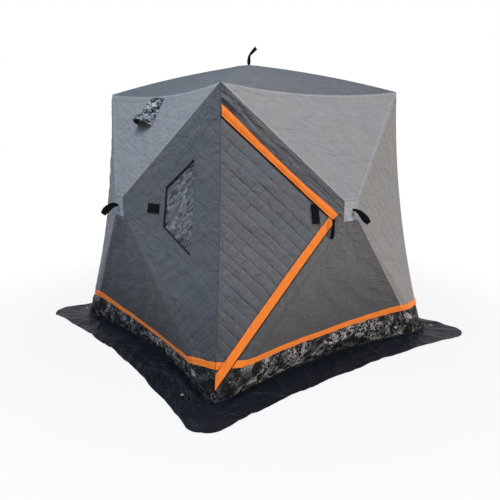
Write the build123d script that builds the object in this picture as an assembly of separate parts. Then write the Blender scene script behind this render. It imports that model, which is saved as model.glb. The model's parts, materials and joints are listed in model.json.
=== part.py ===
from build123d import *
import math
import os

os.makedirs("parts", exist_ok=True)

# A pop-up ice fishing hut: an insulated fabric box held open by five hubs of
# fibreglass poles.  All sizes are in millimetres.  The origin is on the ground
# under the middle of the hut, +Z is up, and the door wall faces -Y.

# ---- outline of the fabric
base_half_width = 997      # plan centre to a ground corner, along each side
eave_half_width = 778      # plan centre to an eave corner, along each side
eave_height = 1850
roof_rise = 200            # eave corners to the fabric over the roof hub
hub_reach = 1096           # plan centre to the fabric over a wall hub
hub_height = 1077
hub_patch_half = 66        # half the side of the square patch over a wall hub
roof_patch_half = 50
foot_inset = 100           # ground corner to the foot of each pole seam
eave_bow = 60              # how far tension pulls each edge in from straight
corner_bow = 63
hem_bow = 100
edge_facets = 6            # flat facets along one bowed edge
smallest_facet = 0.05      # square millimetres: a smaller scrap of a cut facet is left out
same_place = 1e-4

# ---- fabric and trim
fabric_thickness = 6       # quilted, insulated fabric
overlay_thickness = 2      # webbing, flaps and binding sewn on the outside
film_thickness = 1         # window film and vent mesh
band_top = 242             # height of the orange band's upper edge
band_width = 42

# ---- skirt on the ground
skirt_thickness = 3
skirt_width = 260
skirt_corner_radius = 145
skirt_bow = 92
skirt_tuck = 14            # how far the skirt reaches in under the walls
grommet_near, grommet_far = 91, 153       # out from the line of the ground corners
grommet_long, grommet_short = 216, 22     # along the skirt from a ground corner
grommet_hole_radius = 6
grommet_barrel_radius = 9
grommet_flange_radius = 13
grommet_flange_height = 1.2

# ---- door in the front wall, whose zips meet in a tip beside the hub
door_top_drop = 179        # eave to the start of the upper zip, on the corner seam
door_bottom_height = 74    # where the lower zip ends on the corner seam
door_tip_beside_patch = 62
door_tip_below_hub = 59
door_gap = 5               # running gap beside the zip
hinge_gap = 0.3
zip_width = 9
upper_flap_width = 42
lower_flap_width = 40
flap_end_gap = 24          # upper flap stops this far short of the corner
flap_tip_gap = 8           # and this far short of the door's tip
door_tab_beside_tip = 106
door_tab_width = 47
door_tab_length = 118
door_tab_lap = 6.6         # the tab's top, cut off along the zip tape, would pass the zip by this
slider_width = 12
slider_length = 14
pull_beside_tip = 37
pull_below_zip = 14.8
pull_width = 25
pull_length = 128
pull_stand_off = 6
pull_thickness = 3

# ---- window and tie-back tab: across from their wall's middle, up from its hub
window_corners = [(423, -90), (645, -238), (617, 325), (423, 150)]
window_binding = 9
window_lap = 12
tie_tab_box = (284, -14, 378, 44)

# ---- vent hood: across from its wall's middle, down from the eave
vent_top_across, vent_top_drop = -6, 82
vent_mouth_across, vent_mouth_drop = -66, 244
vent_mouth_radius = 105
vent_top_radius = 44
vent_wall = 3
vent_hole_half_width = 42
vent_hole_top_drop = 115
vent_hole_bottom_drop = 210

# ---- straps
strap_width = 34
strap_half_thickness = 5
strap_length = 130
strap_droop = 78
strap_rise = 4             # how much a strap arches before it bends over
strap_bend = 0.55          # share of the length where it has come down by strap_bend_drop
strap_bend_drop = 0.3
roof_strap_length = 138
roof_strap_lean = 62
roof_strap_heading = -37   # degrees about +Z from the +X side

# ---- frame of poles
pole_radius = 5.5
socket_radius = 9
socket_length = 60
knuckle_radius = 10
frame_inset = 22           # fabric surface to the centre line of a corner boot
hub_radius = 36
hub_depth = 24
seat_gap = 0.3

peak_height = eave_height + roof_rise
vent_top = (vent_top_across, eave_height - vent_top_drop)
vent_mouth = (vent_mouth_across, eave_height - vent_mouth_drop)
window_outline = [(x, hub_height + z) for x, z in window_corners]
centre = Vector(0, 0, hub_height)
fabric_scale = 1 - fabric_thickness / hub_reach
overlay_scale = 1 + overlay_thickness / hub_reach
film_scale = fabric_scale - film_thickness / hub_reach
cutter_margin = 0.01       # share by which a cutter passes each face of the fabric
room_scale = 0.8           # a surface well inside the room


# ---- facets: the fabric is a set of flat polygons seen from one centre point

def scaled(point, scale):
    """The point moved along its line from the centre."""
    return centre + (point - centre) * scale


def turned(point, quarters):
    """The point turned about the hut's upright axis by quarter turns."""
    x, y = point.X, point.Y
    for _ in range(quarters % 4):
        x, y = -y, x
    return Vector(x, y, point.Z)


def turned_facets(facets, quarters):
    return [[turned(point, quarters) for point in facet] for facet in facets]


def bowed(start, end, bow, level=False):
    """Points along an edge that bows in towards the centre."""
    pull = centre - (start + end) * 0.5
    if level:
        pull = Vector(pull.X, pull.Y, 0)
    pull = pull.normalized() * bow
    steps = [i / edge_facets for i in range(edge_facets + 1)]
    return [start + (end - start) * u + pull * (4 * u * (1 - u)) for u in steps]


def fan(first, second, edge):
    """Triangles from two patch corners out to a bowed edge."""
    middle = len(edge) // 2
    facets = [[first, edge[i], edge[i + 1]] for i in range(middle)]
    facets.append([first, second, edge[middle]])
    facets += [[second, edge[i], edge[i + 1]] for i in range(middle, len(edge) - 1)]
    return facets


def area(facet):
    total = Vector(0, 0, 0)
    for i in range(1, len(facet) - 1):
        total += (facet[i] - facet[0]).cross(facet[i + 1] - facet[0])
    return total.length / 2


def clip(facets, normal, limit):
    """The part of the facets where the point along the normal reaches the limit."""
    kept = []
    for facet in facets:
        polygon = []
        for here, after in zip(facet, facet[1:] + facet[:1]):
            depth = here.dot(normal) - limit
            next_depth = after.dot(normal) - limit
            if depth >= 0:
                polygon.append(here)
            if depth * next_depth < 0:
                polygon.append(here + (after - here) * (depth / (depth - next_depth)))
        polygon = without_repeats(polygon)
        if len(polygon) > 2 and area(polygon) > smallest_facet:
            kept.append(polygon)
    return kept


def without_repeats(polygon):
    return [point for point, before in zip(polygon, polygon[-1:] + polygon[:-1])
            if (point - before).length > same_place]


def clip_line(facets, start, end, offset=0.0):
    """The part to the left of a line drawn in front elevation, plus the offset."""
    along = Vector(end[0] - start[0], 0, end[1] - start[1]).normalized()
    left = Vector(-along.Z, 0, along.X)
    return clip(facets, left, left.dot(Vector(start[0], 0, start[1])) + offset)


def clip_outline(facets, outline, grow=0.0):
    """The part inside an anticlockwise outline in elevation, grown all round."""
    for start, end in zip(outline, outline[1:] + outline[:1]):
        facets = clip_line(facets, start, end, -grow)
    return facets


def box_outline(low_x, low_z, high_x, high_z):
    return [(low_x, low_z), (high_x, low_z), (high_x, high_z), (low_x, high_z)]


def beside_hub(low_x, low_z, high_x, high_z):
    """A box whose heights are measured from the hub."""
    return box_outline(low_x, hub_height + low_z, high_x, hub_height + high_z)


def edge_key(start, end):
    ends = [tuple(round(value, 3) + 0.0 for value in (p.X, p.Y, p.Z)) for p in (start, end)]
    return tuple(sorted(ends))


def rim(facets):
    """The edges that only one facet has."""
    found = {}
    for facet in facets:
        for start, end in zip(facet, facet[1:] + facet[:1]):
            found.setdefault(edge_key(start, end), []).append((start, end))
    return [edges[0] for edges in found.values() if len(edges) == 1]


def polygon_face(points):
    return Face(Wire.make_polygon(points, close=True))


def shell(facets, outer, inner):
    """A closed sheet between two scaled copies of the facets."""
    faces = [polygon_face([scaled(p, outer) for p in facet]) for facet in facets]
    faces += [polygon_face([scaled(p, inner) for p in facet]) for facet in facets]
    for start, end in rim(facets):
        faces.append(polygon_face([scaled(start, outer), scaled(end, outer),
                                   scaled(end, inner), scaled(start, inner)]))
    return Solid(Shell(faces))


def sheet(facets):
    return shell(facets, 1, fabric_scale)


def overlay(facets):
    return shell(facets, overlay_scale, 1)


def save(name, solids):
    solids = list(solids) if isinstance(solids, (list, tuple)) else [solids]
    shape = solids[0] if len(solids) == 1 else Compound(children=solids)
    export_step(shape, f"parts/{name}.step")


# ---- one wall, drawn as the front wall

patch_upper_left = Vector(-hub_patch_half, -hub_reach, hub_height + hub_patch_half)
patch_upper_right = Vector(hub_patch_half, -hub_reach, hub_height + hub_patch_half)
patch_lower_left = Vector(-hub_patch_half, -hub_reach, hub_height - hub_patch_half)
patch_lower_right = Vector(hub_patch_half, -hub_reach, hub_height - hub_patch_half)

eave_left = Vector(-eave_half_width, -eave_half_width, eave_height)
eave_right = Vector(eave_half_width, -eave_half_width, eave_height)
ground_left = Vector(-base_half_width, -base_half_width, skirt_thickness)
ground_right = Vector(base_half_width, -base_half_width, skirt_thickness)
foot_left = ground_left + Vector(foot_inset, 0, 0)
foot_right = ground_right - Vector(foot_inset, 0, 0)

eave_edge = bowed(eave_left, eave_right, eave_bow)
left_seam = bowed(ground_left, eave_left, corner_bow)
right_seam = bowed(ground_right, eave_right, corner_bow)
hem_edge = bowed(foot_left, foot_right, hem_bow, level=True)

top_facets = fan(patch_upper_left, patch_upper_right, eave_edge)
lower_facets = fan(patch_lower_left, patch_lower_right, hem_edge)
left_facets = fan(patch_lower_left, patch_upper_left, left_seam)
left_facets.append([patch_lower_left, foot_left, ground_left])
right_facets = fan(patch_lower_right, patch_upper_right, right_seam)
right_facets.append([patch_lower_right, foot_right, ground_right])

up = Vector(0, 0, 1)
band_bottom = band_top - band_width


def above_band(facets):
    return clip(facets, up, band_top)


# ---- the door opening in the left side panel of the front wall

def seam_place(seam, height):
    """Where a corner seam is at a height, in front elevation."""
    inner_knots = [knot for knot in seam[1:-1] if knot.Z < height]
    low, high = seam[len(inner_knots)], seam[len(inner_knots) + 1]
    share = (height - low.Z) / (high.Z - low.Z)
    return low.X + (high.X - low.X) * share, height


door_tip = (-hub_patch_half - door_tip_beside_patch, hub_height - door_tip_below_hub)
upper_zip = (seam_place(left_seam, eave_height - door_top_drop), door_tip)
lower_zip = (door_tip, seam_place(left_seam, door_bottom_height))
mitre = Vector(1, -1, 0).normalized()


def inside_door(facets, gap):
    """The part within both zip lines: under the upper and left of the lower."""
    facets = clip_line(facets, upper_zip[1], upper_zip[0], gap)
    return clip_line(facets, lower_zip[1], lower_zip[0], gap)


def above_upper_zip(facets, offset):
    return clip_line(facets, *upper_zip, offset)


def below_lower_zip(facets, offset):
    return clip_line(facets, *lower_zip, offset)


half_gap = door_gap / 2
tip_level = door_tip[1]
surround_upper = clip(above_upper_zip(left_facets, half_gap), up, tip_level)
surround_lower = clip(below_lower_zip(left_facets, half_gap), -up, -tip_level)
door_facets = clip(inside_door(left_facets, half_gap), mitre, hinge_gap)


# ---- wall panels

walls = {"front": 0, "right": 1, "back": 2, "left": 3}
window_walls = ("right", "left")


def vent_axis(height):
    share = (height - vent_mouth[1]) / (vent_top[1] - vent_mouth[1])
    return vent_mouth[0] + (vent_top[0] - vent_mouth[0]) * share


vent_low, vent_high = eave_height - vent_hole_bottom_drop, eave_height - vent_hole_top_drop
vent_hole = [(vent_axis(vent_low) - vent_hole_half_width, vent_low),
             (vent_axis(vent_low) + vent_hole_half_width, vent_low),
             (vent_axis(vent_high) + vent_hole_half_width, vent_high),
             (vent_axis(vent_high) - vent_hole_half_width, vent_high)]


def cutter(facets):
    """A solid that reaches past both faces of the fabric, to cut a hole."""
    return shell(facets, 1 + cutter_margin, fabric_scale - cutter_margin)


for wall, quarters in walls.items():
    has_window = wall in window_walls
    top = sheet(top_facets)
    if has_window:
        top -= cutter(clip_outline(top_facets, vent_hole))
    save(f"{wall}_top_panel", Rot(0, 0, 90 * quarters) * top)

    save(f"{wall}_lower_panel", Rot(0, 0, 90 * quarters) * sheet(above_band(lower_facets)))

    right_panel = sheet(above_band(right_facets))
    if has_window:
        right_panel -= cutter(clip_outline(right_facets, window_outline))
    save(f"{wall}_right_panel", Rot(0, 0, 90 * quarters) * right_panel)

    if wall == "front":
        save("door_surround_upper", sheet(surround_upper))
        save("door_surround_lower", sheet(above_band(surround_lower)))
        base_facets = surround_lower + lower_facets + right_facets
    else:
        save(f"{wall}_left_panel", Rot(0, 0, 90 * quarters) * sheet(above_band(left_facets)))
        base_facets = left_facets + lower_facets + right_facets
    base = sheet(clip(base_facets, -up, -band_top))
    save(f"{wall}_base_band", Rot(0, 0, 90 * quarters) * base)

hub_patch = [[patch_lower_left, patch_lower_right, patch_upper_right, patch_upper_left]]
save("wall_hub_patches", [sheet(turned_facets(hub_patch, q)) for q in walls.values()])


# ---- roof

roof_corners = [Vector(x * roof_patch_half, y * roof_patch_half, peak_height)
                for x, y in ((-1, -1), (1, -1), (1, 1), (-1, 1))]
roof_facets = fan(roof_corners[0], roof_corners[1], eave_edge)
for wall, quarters in walls.items():
    save(f"roof_{wall}_panel", sheet(turned_facets(roof_facets, quarters)))
save("roof_hub_patch", sheet([roof_corners]))


# ---- orange band round the walls, open at the door

ring = []
for wall, quarters in walls.items():
    left_part = surround_lower if wall == "front" else left_facets
    ring += turned_facets(left_part + lower_facets + right_facets, quarters)
ring = clip(clip(ring, up, band_bottom), -up, -band_top)
save("trim_band", overlay(ring))


# ---- windows and the tie-back tab

window_quarters = [walls[wall] for wall in window_walls]
pane = shell(clip_outline(right_facets, window_outline, window_lap), fabric_scale, film_scale)
binding = overlay(clip_outline(right_facets, window_outline, window_binding))
binding -= cutter(clip_outline(right_facets, window_outline))
tie_tab = overlay(clip_outline(right_facets, beside_hub(*tie_tab_box)))
save("window_panes", [Rot(0, 0, 90 * q) * pane for q in window_quarters])
save("window_bindings", [Rot(0, 0, 90 * q) * binding for q in window_quarters])
save("door_tie_tab", Rot(0, 0, 90 * walls["left"]) * tie_tab)


# ---- vents: a hooded hole in the top panel, closed by mesh

def surface_point(facets, x, z):
    """The point of the wall's outer face at a place in its elevation."""
    for facet in facets:
        for i in range(1, len(facet) - 1):
            a, b, c = facet[0], facet[i], facet[i + 1]
            span = (b.X - a.X) * (c.Z - a.Z) - (c.X - a.X) * (b.Z - a.Z)
            if abs(span) < 1e-9:
                continue
            u = ((x - a.X) * (c.Z - a.Z) - (c.X - a.X) * (z - a.Z)) / span
            v = ((b.X - a.X) * (z - a.Z) - (x - a.X) * (b.Z - a.Z)) / span
            if u >= -1e-9 and v >= -1e-9 and u + v <= 1 + 1e-9:
                return a + (b - a) * u + (c - a) * v
    raise ValueError("the place is off the wall")


mouth_point = surface_point(top_facets, *vent_mouth)
crown_point = surface_point(top_facets, *vent_top)
hood_length = (crown_point - mouth_point).length
hood_plane = Plane(origin=mouth_point, z_dir=crown_point - mouth_point)
start_low = (Align.CENTER, Align.CENTER, Align.MIN)
hood = Cone(vent_mouth_radius, vent_top_radius, hood_length, align=start_low)
hood -= Cone(vent_mouth_radius - vent_wall, vent_top_radius - vent_wall,
             hood_length - vent_wall, align=start_low)
hood = (hood_plane * hood).solid() - shell(top_facets, 1, room_scale)
hood = max(hood.solids(), key=lambda piece: piece.volume)
mesh_screen = shell(clip_outline(top_facets, vent_hole, window_lap), fabric_scale, film_scale)
save("vent_hoods", [Rot(0, 0, 90 * q) * hood for q in window_quarters])
save("vent_screens", [Rot(0, 0, 90 * q) * mesh_screen for q in window_quarters])


# ---- door, with its own flap, zip tape, trim, tab and pull

save("door_flap", sheet(door_facets))

zip_edge = half_gap + zip_width
upper_tape = clip_line(door_facets, *upper_zip, -zip_edge)
lower_tape = clip_line(door_facets, *lower_zip, -zip_edge)
lower_tape = clip_line(lower_tape, upper_zip[1], upper_zip[0], zip_edge + hinge_gap)
save("door_zip_tape", [overlay(upper_tape), overlay(lower_tape)])

flap_edge = zip_edge + lower_flap_width
within_tape = inside_door(door_facets, zip_edge + hinge_gap)
lower_flap = clip_line(within_tape, *lower_zip, -flap_edge)
save("door_lower_flap", overlay(lower_flap))


def zip_height(x):
    """How high the upper zip is at a place across the wall."""
    (start_x, start_z), (tip_x, tip_z) = upper_zip
    return tip_z + (start_z - tip_z) * (tip_x - x) / (tip_x - start_x)


door_trim = clip_line(within_tape, lower_zip[1], lower_zip[0], flap_edge)
door_trim = clip(clip(door_trim, up, band_bottom), -up, -band_top)
save("door_trim_band", overlay(door_trim))
tab_right = door_tip[0] - door_tab_beside_tip
tab_head = zip_height(tab_right) + door_tab_lap
tab_box = (tab_right - door_tab_width, tab_head - door_tab_length, tab_right, tab_head)
save("door_tab", overlay(clip_outline(within_tape, box_outline(*tab_box))))

pull_x = door_tip[0] - pull_beside_tip
pull_head = zip_height(pull_x) - pull_below_zip
pull_box = (pull_x - pull_width / 2, pull_head - pull_length, pull_x + pull_width / 2, pull_head)
slider_box = (pull_x - slider_width / 2, pull_head - slider_length,
              pull_x + slider_width / 2, pull_head)
pull_inner = 1 + pull_stand_off / hub_reach
pull_outer = pull_inner + pull_thickness / hub_reach
pull = shell(clip_outline(left_facets, box_outline(*pull_box)), pull_outer, pull_inner)
slider = shell(clip_outline(door_facets, box_outline(*slider_box)), pull_inner, overlay_scale)
save("zip_pull", pull + slider)


# ---- upper storm flap, sewn to the surround above the zip

upper_flap = clip_line(above_upper_zip(left_facets, half_gap), upper_zip[1], upper_zip[0],
                       -(half_gap + upper_flap_width))
upper_flap = clip(upper_flap, -Vector(1, 0, 0), -(door_tip[0] - flap_tip_gap))
upper_flap = clip(upper_flap, mitre, flap_end_gap / math.sqrt(2))
save("upper_storm_flap", overlay(upper_flap))


# ---- skirt: four flat strips, mitred at the corners

outer_half = base_half_width + skirt_width


def skirt_strip():
    tuck = 1 - skirt_tuck / base_half_width
    inner = [ground_left] + hem_edge + [ground_right]
    inner = [(point.X * tuck, point.Y * tuck) for point in inner]
    bend = outer_half - skirt_corner_radius
    diagonal = bend + skirt_corner_radius * math.sqrt(0.5)
    sixteenth = math.radians(22.5)
    over, out = skirt_corner_radius * math.sin(sixteenth), skirt_corner_radius * math.cos(sixteenth)
    edge = Polyline(*inner)
    edge += Line(inner[-1], (diagonal, -diagonal))
    edge += ThreePointArc((diagonal, -diagonal), (bend + over, -bend - out), (bend, -outer_half))
    edge += ThreePointArc((bend, -outer_half), (0, -outer_half + skirt_bow), (-bend, -outer_half))
    edge += ThreePointArc((-bend, -outer_half), (-bend - over, -bend - out), (-diagonal, -diagonal))
    edge += Line((-diagonal, -diagonal), inner[0])
    return extrude(make_face(edge), amount=skirt_thickness)


near_out, near_along = base_half_width + grommet_near, base_half_width - grommet_long
far_out, far_along = base_half_width + grommet_far, base_half_width - grommet_short
grommet_places = [(-near_out, -near_along), (far_out, -far_along),
                  (-far_along, far_out), (near_out, near_along)]
grommets = []
barrel_hole = Cylinder(grommet_barrel_radius, 4 * skirt_thickness)
for wall, quarters in walls.items():
    strip = Rot(0, 0, 90 * quarters) * skirt_strip()
    for x, y in grommet_places:
        strip -= Pos(x, y, 0) * barrel_hole
    save(f"{wall}_skirt", strip.solids())

for x, y in grommet_places:
    eyelet = Cylinder(grommet_barrel_radius, skirt_thickness, align=start_low)
    eyelet += Pos(0, 0, skirt_thickness) * Cylinder(grommet_flange_radius, grommet_flange_height,
                                                    align=start_low)
    eyelet -= Cylinder(grommet_hole_radius, 4 * skirt_thickness)
    grommets.append(Pos(x, y, 0) * eyelet.solid())
save("skirt_grommets", grommets)


# ---- pull straps: a doubled webbing tongue on each hub

def tongue(length, droop):
    """A bent tongue in the YZ plane that leaves the origin along -Y."""
    half = strap_half_thickness
    bend = -length * strap_bend
    level = strap_rise - droop * strap_bend_drop
    upper = ThreePointArc((0, half), (bend, level + half), (-length, -droop))
    lower = ThreePointArc((-length, -droop - half), (bend, level - half), (0, -half))
    outline = upper + Line(upper @ 1, lower @ 0) + lower + Line(lower @ 1, upper @ 0)
    face = Plane.YZ * make_face(outline)
    return extrude(face, amount=strap_width / 2, both=True).solid()


wall_strap = Pos(0, -hub_reach, hub_height) * tongue(strap_length, strap_droop)
roof_strap = Rot(-90, 0, 0) * tongue(roof_strap_length, roof_strap_lean)
roof_strap = Pos(0, 0, peak_height) * Rot(0, 0, 90 + roof_strap_heading) * roof_strap
save("hub_pull_straps", [Rot(0, 0, 90 * q) * wall_strap for q in walls.values()] + [roof_strap])


# ---- frame: hubs, poles and boots inside the fabric

frame_scale = 1 - frame_inset / hub_reach


def rod(start, end, radius):
    length = (end - start).length
    return (Plane(origin=start, z_dir=end - start) * Cylinder(radius, length, align=start_low)).solid()


def along(start, end, distance):
    return start + (end - start).normalized() * distance


face_depth = hub_reach * fabric_scale - seat_gap
wall_hub_point = Vector(0, -face_depth + hub_depth / 2, hub_height)
roof_face_level = scaled(roof_corners[0], fabric_scale).Z - seat_gap
roof_hub_point = Vector(0, 0, roof_face_level - hub_depth / 2)
eave_knuckles = [scaled(eave_left, frame_scale), scaled(eave_right, frame_scale)]
feet = [scaled(foot_left, frame_scale), scaled(foot_right, frame_scale)]


def hub(point, facing, ends):
    """A disc with a socket towards the end of each pole."""
    disc = Plane(origin=point, z_dir=facing) * Cylinder(hub_radius, hub_depth)
    body = disc.solid()
    for end in ends:
        body += rod(point, along(point, end, socket_length), socket_radius)
    return body.solid()


def pole(point, end):
    return rod(along(point, end, socket_length), along(end, point, socket_length), pole_radius)


wall_hub = hub(wall_hub_point, Vector(0, -1, 0), eave_knuckles + feet)
wall_poles = [pole(wall_hub_point, end) for end in eave_knuckles + feet]
all_knuckles = [turned(eave_knuckles[0], q) for q in walls.values()]
roof_hub = hub(roof_hub_point, Vector(0, 0, 1), all_knuckles)
save("pole_hubs", [Rot(0, 0, 90 * q) * wall_hub for q in walls.values()] + [roof_hub])
save("wall_poles", [Rot(0, 0, 90 * q) * bar for q in walls.values() for bar in wall_poles])
save("roof_poles", [pole(roof_hub_point, end) for end in all_knuckles])

corner = eave_knuckles[0]
left_hub_point = turned(wall_hub_point, walls["left"])
boot = (Pos(corner) * Sphere(knuckle_radius)).solid()
for target in (wall_hub_point, left_hub_point, roof_hub_point):
    boot += rod(corner, along(corner, target, socket_length), socket_radius)

floor_block = Box(4 * base_half_width, 4 * base_half_width, 2 * base_half_width,
                  align=(Align.CENTER, Align.CENTER, Align.MAX))
floor_block = Pos(0, 0, skirt_thickness + seat_gap) * floor_block
foot_boots = []
for foot in feet:
    tip = along(foot, wall_hub_point, -socket_length)
    foot_boot = rod(tip, along(foot, wall_hub_point, socket_length), socket_radius) - floor_block
    foot_boots.append(foot_boot.solid())
boots = [Rot(0, 0, 90 * q) * boot.solid() for q in walls.values()]
boots += [Rot(0, 0, 90 * q) * foot_boot for q in walls.values() for foot_boot in foot_boots]
save("pole_boots", boots)
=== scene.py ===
# %% [markdown]
# # A pop-up ice fishing hut
#
# The hut is a square box of quilted cloth. Each wall and the roof has a hub in its middle, and four
# fibreglass poles spring from the hub to the corners and push it outwards. That is why every wall
# stands out like a low pyramid, and why every free edge of the cloth bows in between the corners.
#
# The imported model is the fixed frame. It is loaded first.

# %% Load the frame
import json
import math
from collections import namedtuple
from functools import partial

import bmesh
import bpy
from mathutils import Matrix, Vector, noise
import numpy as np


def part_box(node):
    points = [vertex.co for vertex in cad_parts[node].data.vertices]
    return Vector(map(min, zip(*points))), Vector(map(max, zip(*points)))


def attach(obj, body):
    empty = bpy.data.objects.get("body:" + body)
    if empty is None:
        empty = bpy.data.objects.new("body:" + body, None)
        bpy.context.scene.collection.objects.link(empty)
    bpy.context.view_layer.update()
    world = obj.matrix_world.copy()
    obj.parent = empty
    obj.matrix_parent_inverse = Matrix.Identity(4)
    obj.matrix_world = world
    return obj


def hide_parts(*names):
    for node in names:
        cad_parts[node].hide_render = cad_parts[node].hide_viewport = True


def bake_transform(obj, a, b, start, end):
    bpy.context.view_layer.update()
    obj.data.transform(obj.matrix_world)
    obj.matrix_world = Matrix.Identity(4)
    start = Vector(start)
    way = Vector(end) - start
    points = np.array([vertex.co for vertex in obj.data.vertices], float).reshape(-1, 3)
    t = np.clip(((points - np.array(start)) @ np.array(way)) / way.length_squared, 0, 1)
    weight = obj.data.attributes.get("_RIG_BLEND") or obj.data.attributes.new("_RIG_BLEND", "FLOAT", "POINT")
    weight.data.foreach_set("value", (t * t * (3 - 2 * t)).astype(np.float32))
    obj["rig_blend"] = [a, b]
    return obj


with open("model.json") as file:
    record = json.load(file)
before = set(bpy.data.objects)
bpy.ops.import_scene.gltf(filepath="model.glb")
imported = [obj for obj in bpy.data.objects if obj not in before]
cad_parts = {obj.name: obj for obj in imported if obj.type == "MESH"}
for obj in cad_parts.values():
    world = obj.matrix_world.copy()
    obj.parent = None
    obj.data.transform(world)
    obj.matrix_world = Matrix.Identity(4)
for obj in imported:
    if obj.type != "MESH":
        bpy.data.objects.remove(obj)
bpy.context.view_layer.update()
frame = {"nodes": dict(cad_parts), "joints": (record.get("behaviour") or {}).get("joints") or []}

# %% [markdown]
# ## Sizes
#
# Places come from the boxes of the frame's own parts, in metres. Only what a box can't tell, such as how
# far an edge bows, is written here again.

# %% Read the sizes from the frame
base_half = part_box("back_base_band")[1].x
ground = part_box("back_base_band")[0].z
eave_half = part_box("back_top_panel")[1].x
eave_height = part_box("back_top_panel")[1].z
hub_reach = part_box("wall_hub_patches")[1].x
patch_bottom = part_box("wall_hub_patches")[0].z
patch_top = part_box("wall_hub_patches")[1].z
roof_patch_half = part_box("roof_hub_patch")[1].x
peak_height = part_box("roof_hub_patch")[1].z
band_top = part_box("front_lower_panel")[0].z
patch_half = (patch_top - patch_bottom) / 2
hub_height = (patch_top + patch_bottom) / 2
foot_half = base_half - 0.100
eave_bow = 0.060
seam_bow = 0.063
hem_bow = 0.100
hip_bow = 0.018
band_width = 0.042
centre = Vector((0, 0, hub_height))
walls = {"front": 0, "right": 1, "back": 2, "left": 3}
print("base", base_half, "eave", eave_half, eave_height, "hub", hub_reach, hub_height, "peak", peak_height)

# %% [markdown]
# ## Camera
#
# The camera stands a little above eye level, off the corner where the door wall meets the wall with the
# window. A 38 mm lens on a full-frame sensor gives the perspective of a step back from the hut.

# %% Place the camera
camera_data = bpy.data.cameras.new("camera")
camera = bpy.data.objects.new("camera", camera_data)
bpy.context.scene.collection.objects.link(camera)
bpy.context.scene.camera = camera
camera_data.sensor_width = 36
camera_data.lens = 38.27
camera.location = (-2.529, -3.407, 1.593)
camera_pitch = 12.94
camera_turn = -36.70
camera.rotation_euler = (math.radians(90 - camera_pitch), 0, math.radians(camera_turn))
print("camera at", tuple(round(value, 3) for value in camera.location))

# %% [markdown]
# ## Tools for materials
#
# Every finish is made from nodes. One function adds a node, sets what it is told and links its inputs, so
# a material reads as a list of steps. Another turns the colours, written as they look on a screen, into
# the linear values that a renderer works in.

# %% Helpers for colours and nodes
shared_settings = {"Mix": {"data_type": "RGBA"}, "MapRange": {"interpolation_type": "SMOOTHSTEP"},
                   "Mapping": {"vector_type": "TEXTURE"}, "Attribute": {"attribute_type": "GEOMETRY"}}


def colour(code):
    """A linear colour from an sRGB hex code."""
    values = [int(code[i:i + 2], 16) / 255 for i in (1, 3, 5)]
    linear = [v / 12.92 if v <= 0.04045 else ((v + 0.055) / 1.055) ** 2.4 for v in values]
    return (*linear, 1.0)


def add(tree, kind, *values, out=None, **named):
    """A new node, such as "TexNoise" or "Math ADD". The values feed its live inputs in turn, and each is a
    number, a colour or the output that feeds it. A name in capitals is an input as well, and any other name
    is a setting. The node's first live output comes back, or the one that out names."""
    kind, _, operation = kind.partition(" ")
    node = tree.nodes.new("ShaderNode" + kind)
    if operation:
        setattr(node, "blend_type" if kind == "Mix" else "operation", operation)
    settings = {name: value for name, value in named.items() if name[0].islower()}
    for name, value in (shared_settings.get(kind, {}) | settings).items():
        setattr(node, name, value)
    feeds = list(zip([socket for socket in node.inputs if socket.enabled], values))
    feeds += [(node.inputs[name.replace("_", " ")], named[name]) for name in named if name not in settings]
    for socket, value in feeds:
        if isinstance(value, bpy.types.NodeSocket):
            tree.links.new(value, socket)
        else:
            socket.default_value = value
    return node.outputs[out] if out else next((socket for socket in node.outputs if socket.enabled), None)


def new_material(name):
    """An empty material, and the function that adds a node to it."""
    material = bpy.data.materials.new(name)
    material.use_nodes = True
    material.node_tree.nodes.clear()
    return material, partial(add, material.node_tree)


def finished(material, node, **surface):
    """The material, once its shader has its colour, its bumps and its values."""
    node("OutputMaterial", node("BsdfPrincipled", **surface))
    return material


def drawn_noise(node, place, scales, turn, detail=3.0, roughness=0.5, bend=0.0):
    """Noise drawn out in one direction: the larger scale lies across the turned direction."""
    turned = node("Mapping", place, Rotation=(0, 0, math.radians(turn)),
                  Scale=(1 / scales[0], 1 / scales[1], 1))
    return node("TexNoise", turned, 1.0, detail, roughness, Distortion=bend)


def ridged(node, height):
    """How far a height is from its middle, which turns noise into ridges."""
    return node("Math ABSOLUTE", node("Math SUBTRACT", height, 0.5))


print("helpers ready")

# %% [markdown]
# ## Cloth finishes
#
# The shell is woven polyester, coated on the back, and quilted to a thin layer of wadding on the walls and
# the roof. Polyester cloth is rough, with an IOR near 1.5 and a faint sheen at grazing angles.
#
# Each cloth piece carries an attribute named `cloth`: how far across and how far up the panel a point is,
# in metres, and how strongly it is quilted. A second attribute, `seam`, is the distance to the nearest
# sewn edge. The pattern follows the cloth because it reads these, and not the room.

# %% The quilting grid and the woven cloth
stitch_pitch_down = 0.066      # between the stitch lines that run down to the right
stitch_pitch_up = 0.061        # between the ones that run up to the right
stitch_line = 0.0026           # half the width of a stitch line's dimple
stitch_dip = 0.0026            # how deep that dimple is
rise_strength = 0.8            # the lines that run up to the right are drawn in less
weave = 0.0028                 # real threads are 0.4 mm apart: drawn coarser, so that they show
weave_depth = 0.00006
hem_line, hem_line_half = 0.016, 0.0022      # the second row of stitches beside a seam, and half its width
diagonal = math.sqrt(0.5)


def cloth_values(node):
    """How far across and up its panel a place on the cloth is, and how strongly it is quilted."""
    return node("SeparateXYZ", node("Attribute", attribute_name="cloth", out="Vector")).node.outputs


def cloth_place(node):
    """The place on the cloth as a vector, which a pattern can be drawn at."""
    across, up, _ = cloth_values(node)
    return node("CombineXYZ", across, up)


def seam_distance(node):
    return node("Attribute", attribute_name="seam", out="Fac")


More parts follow.
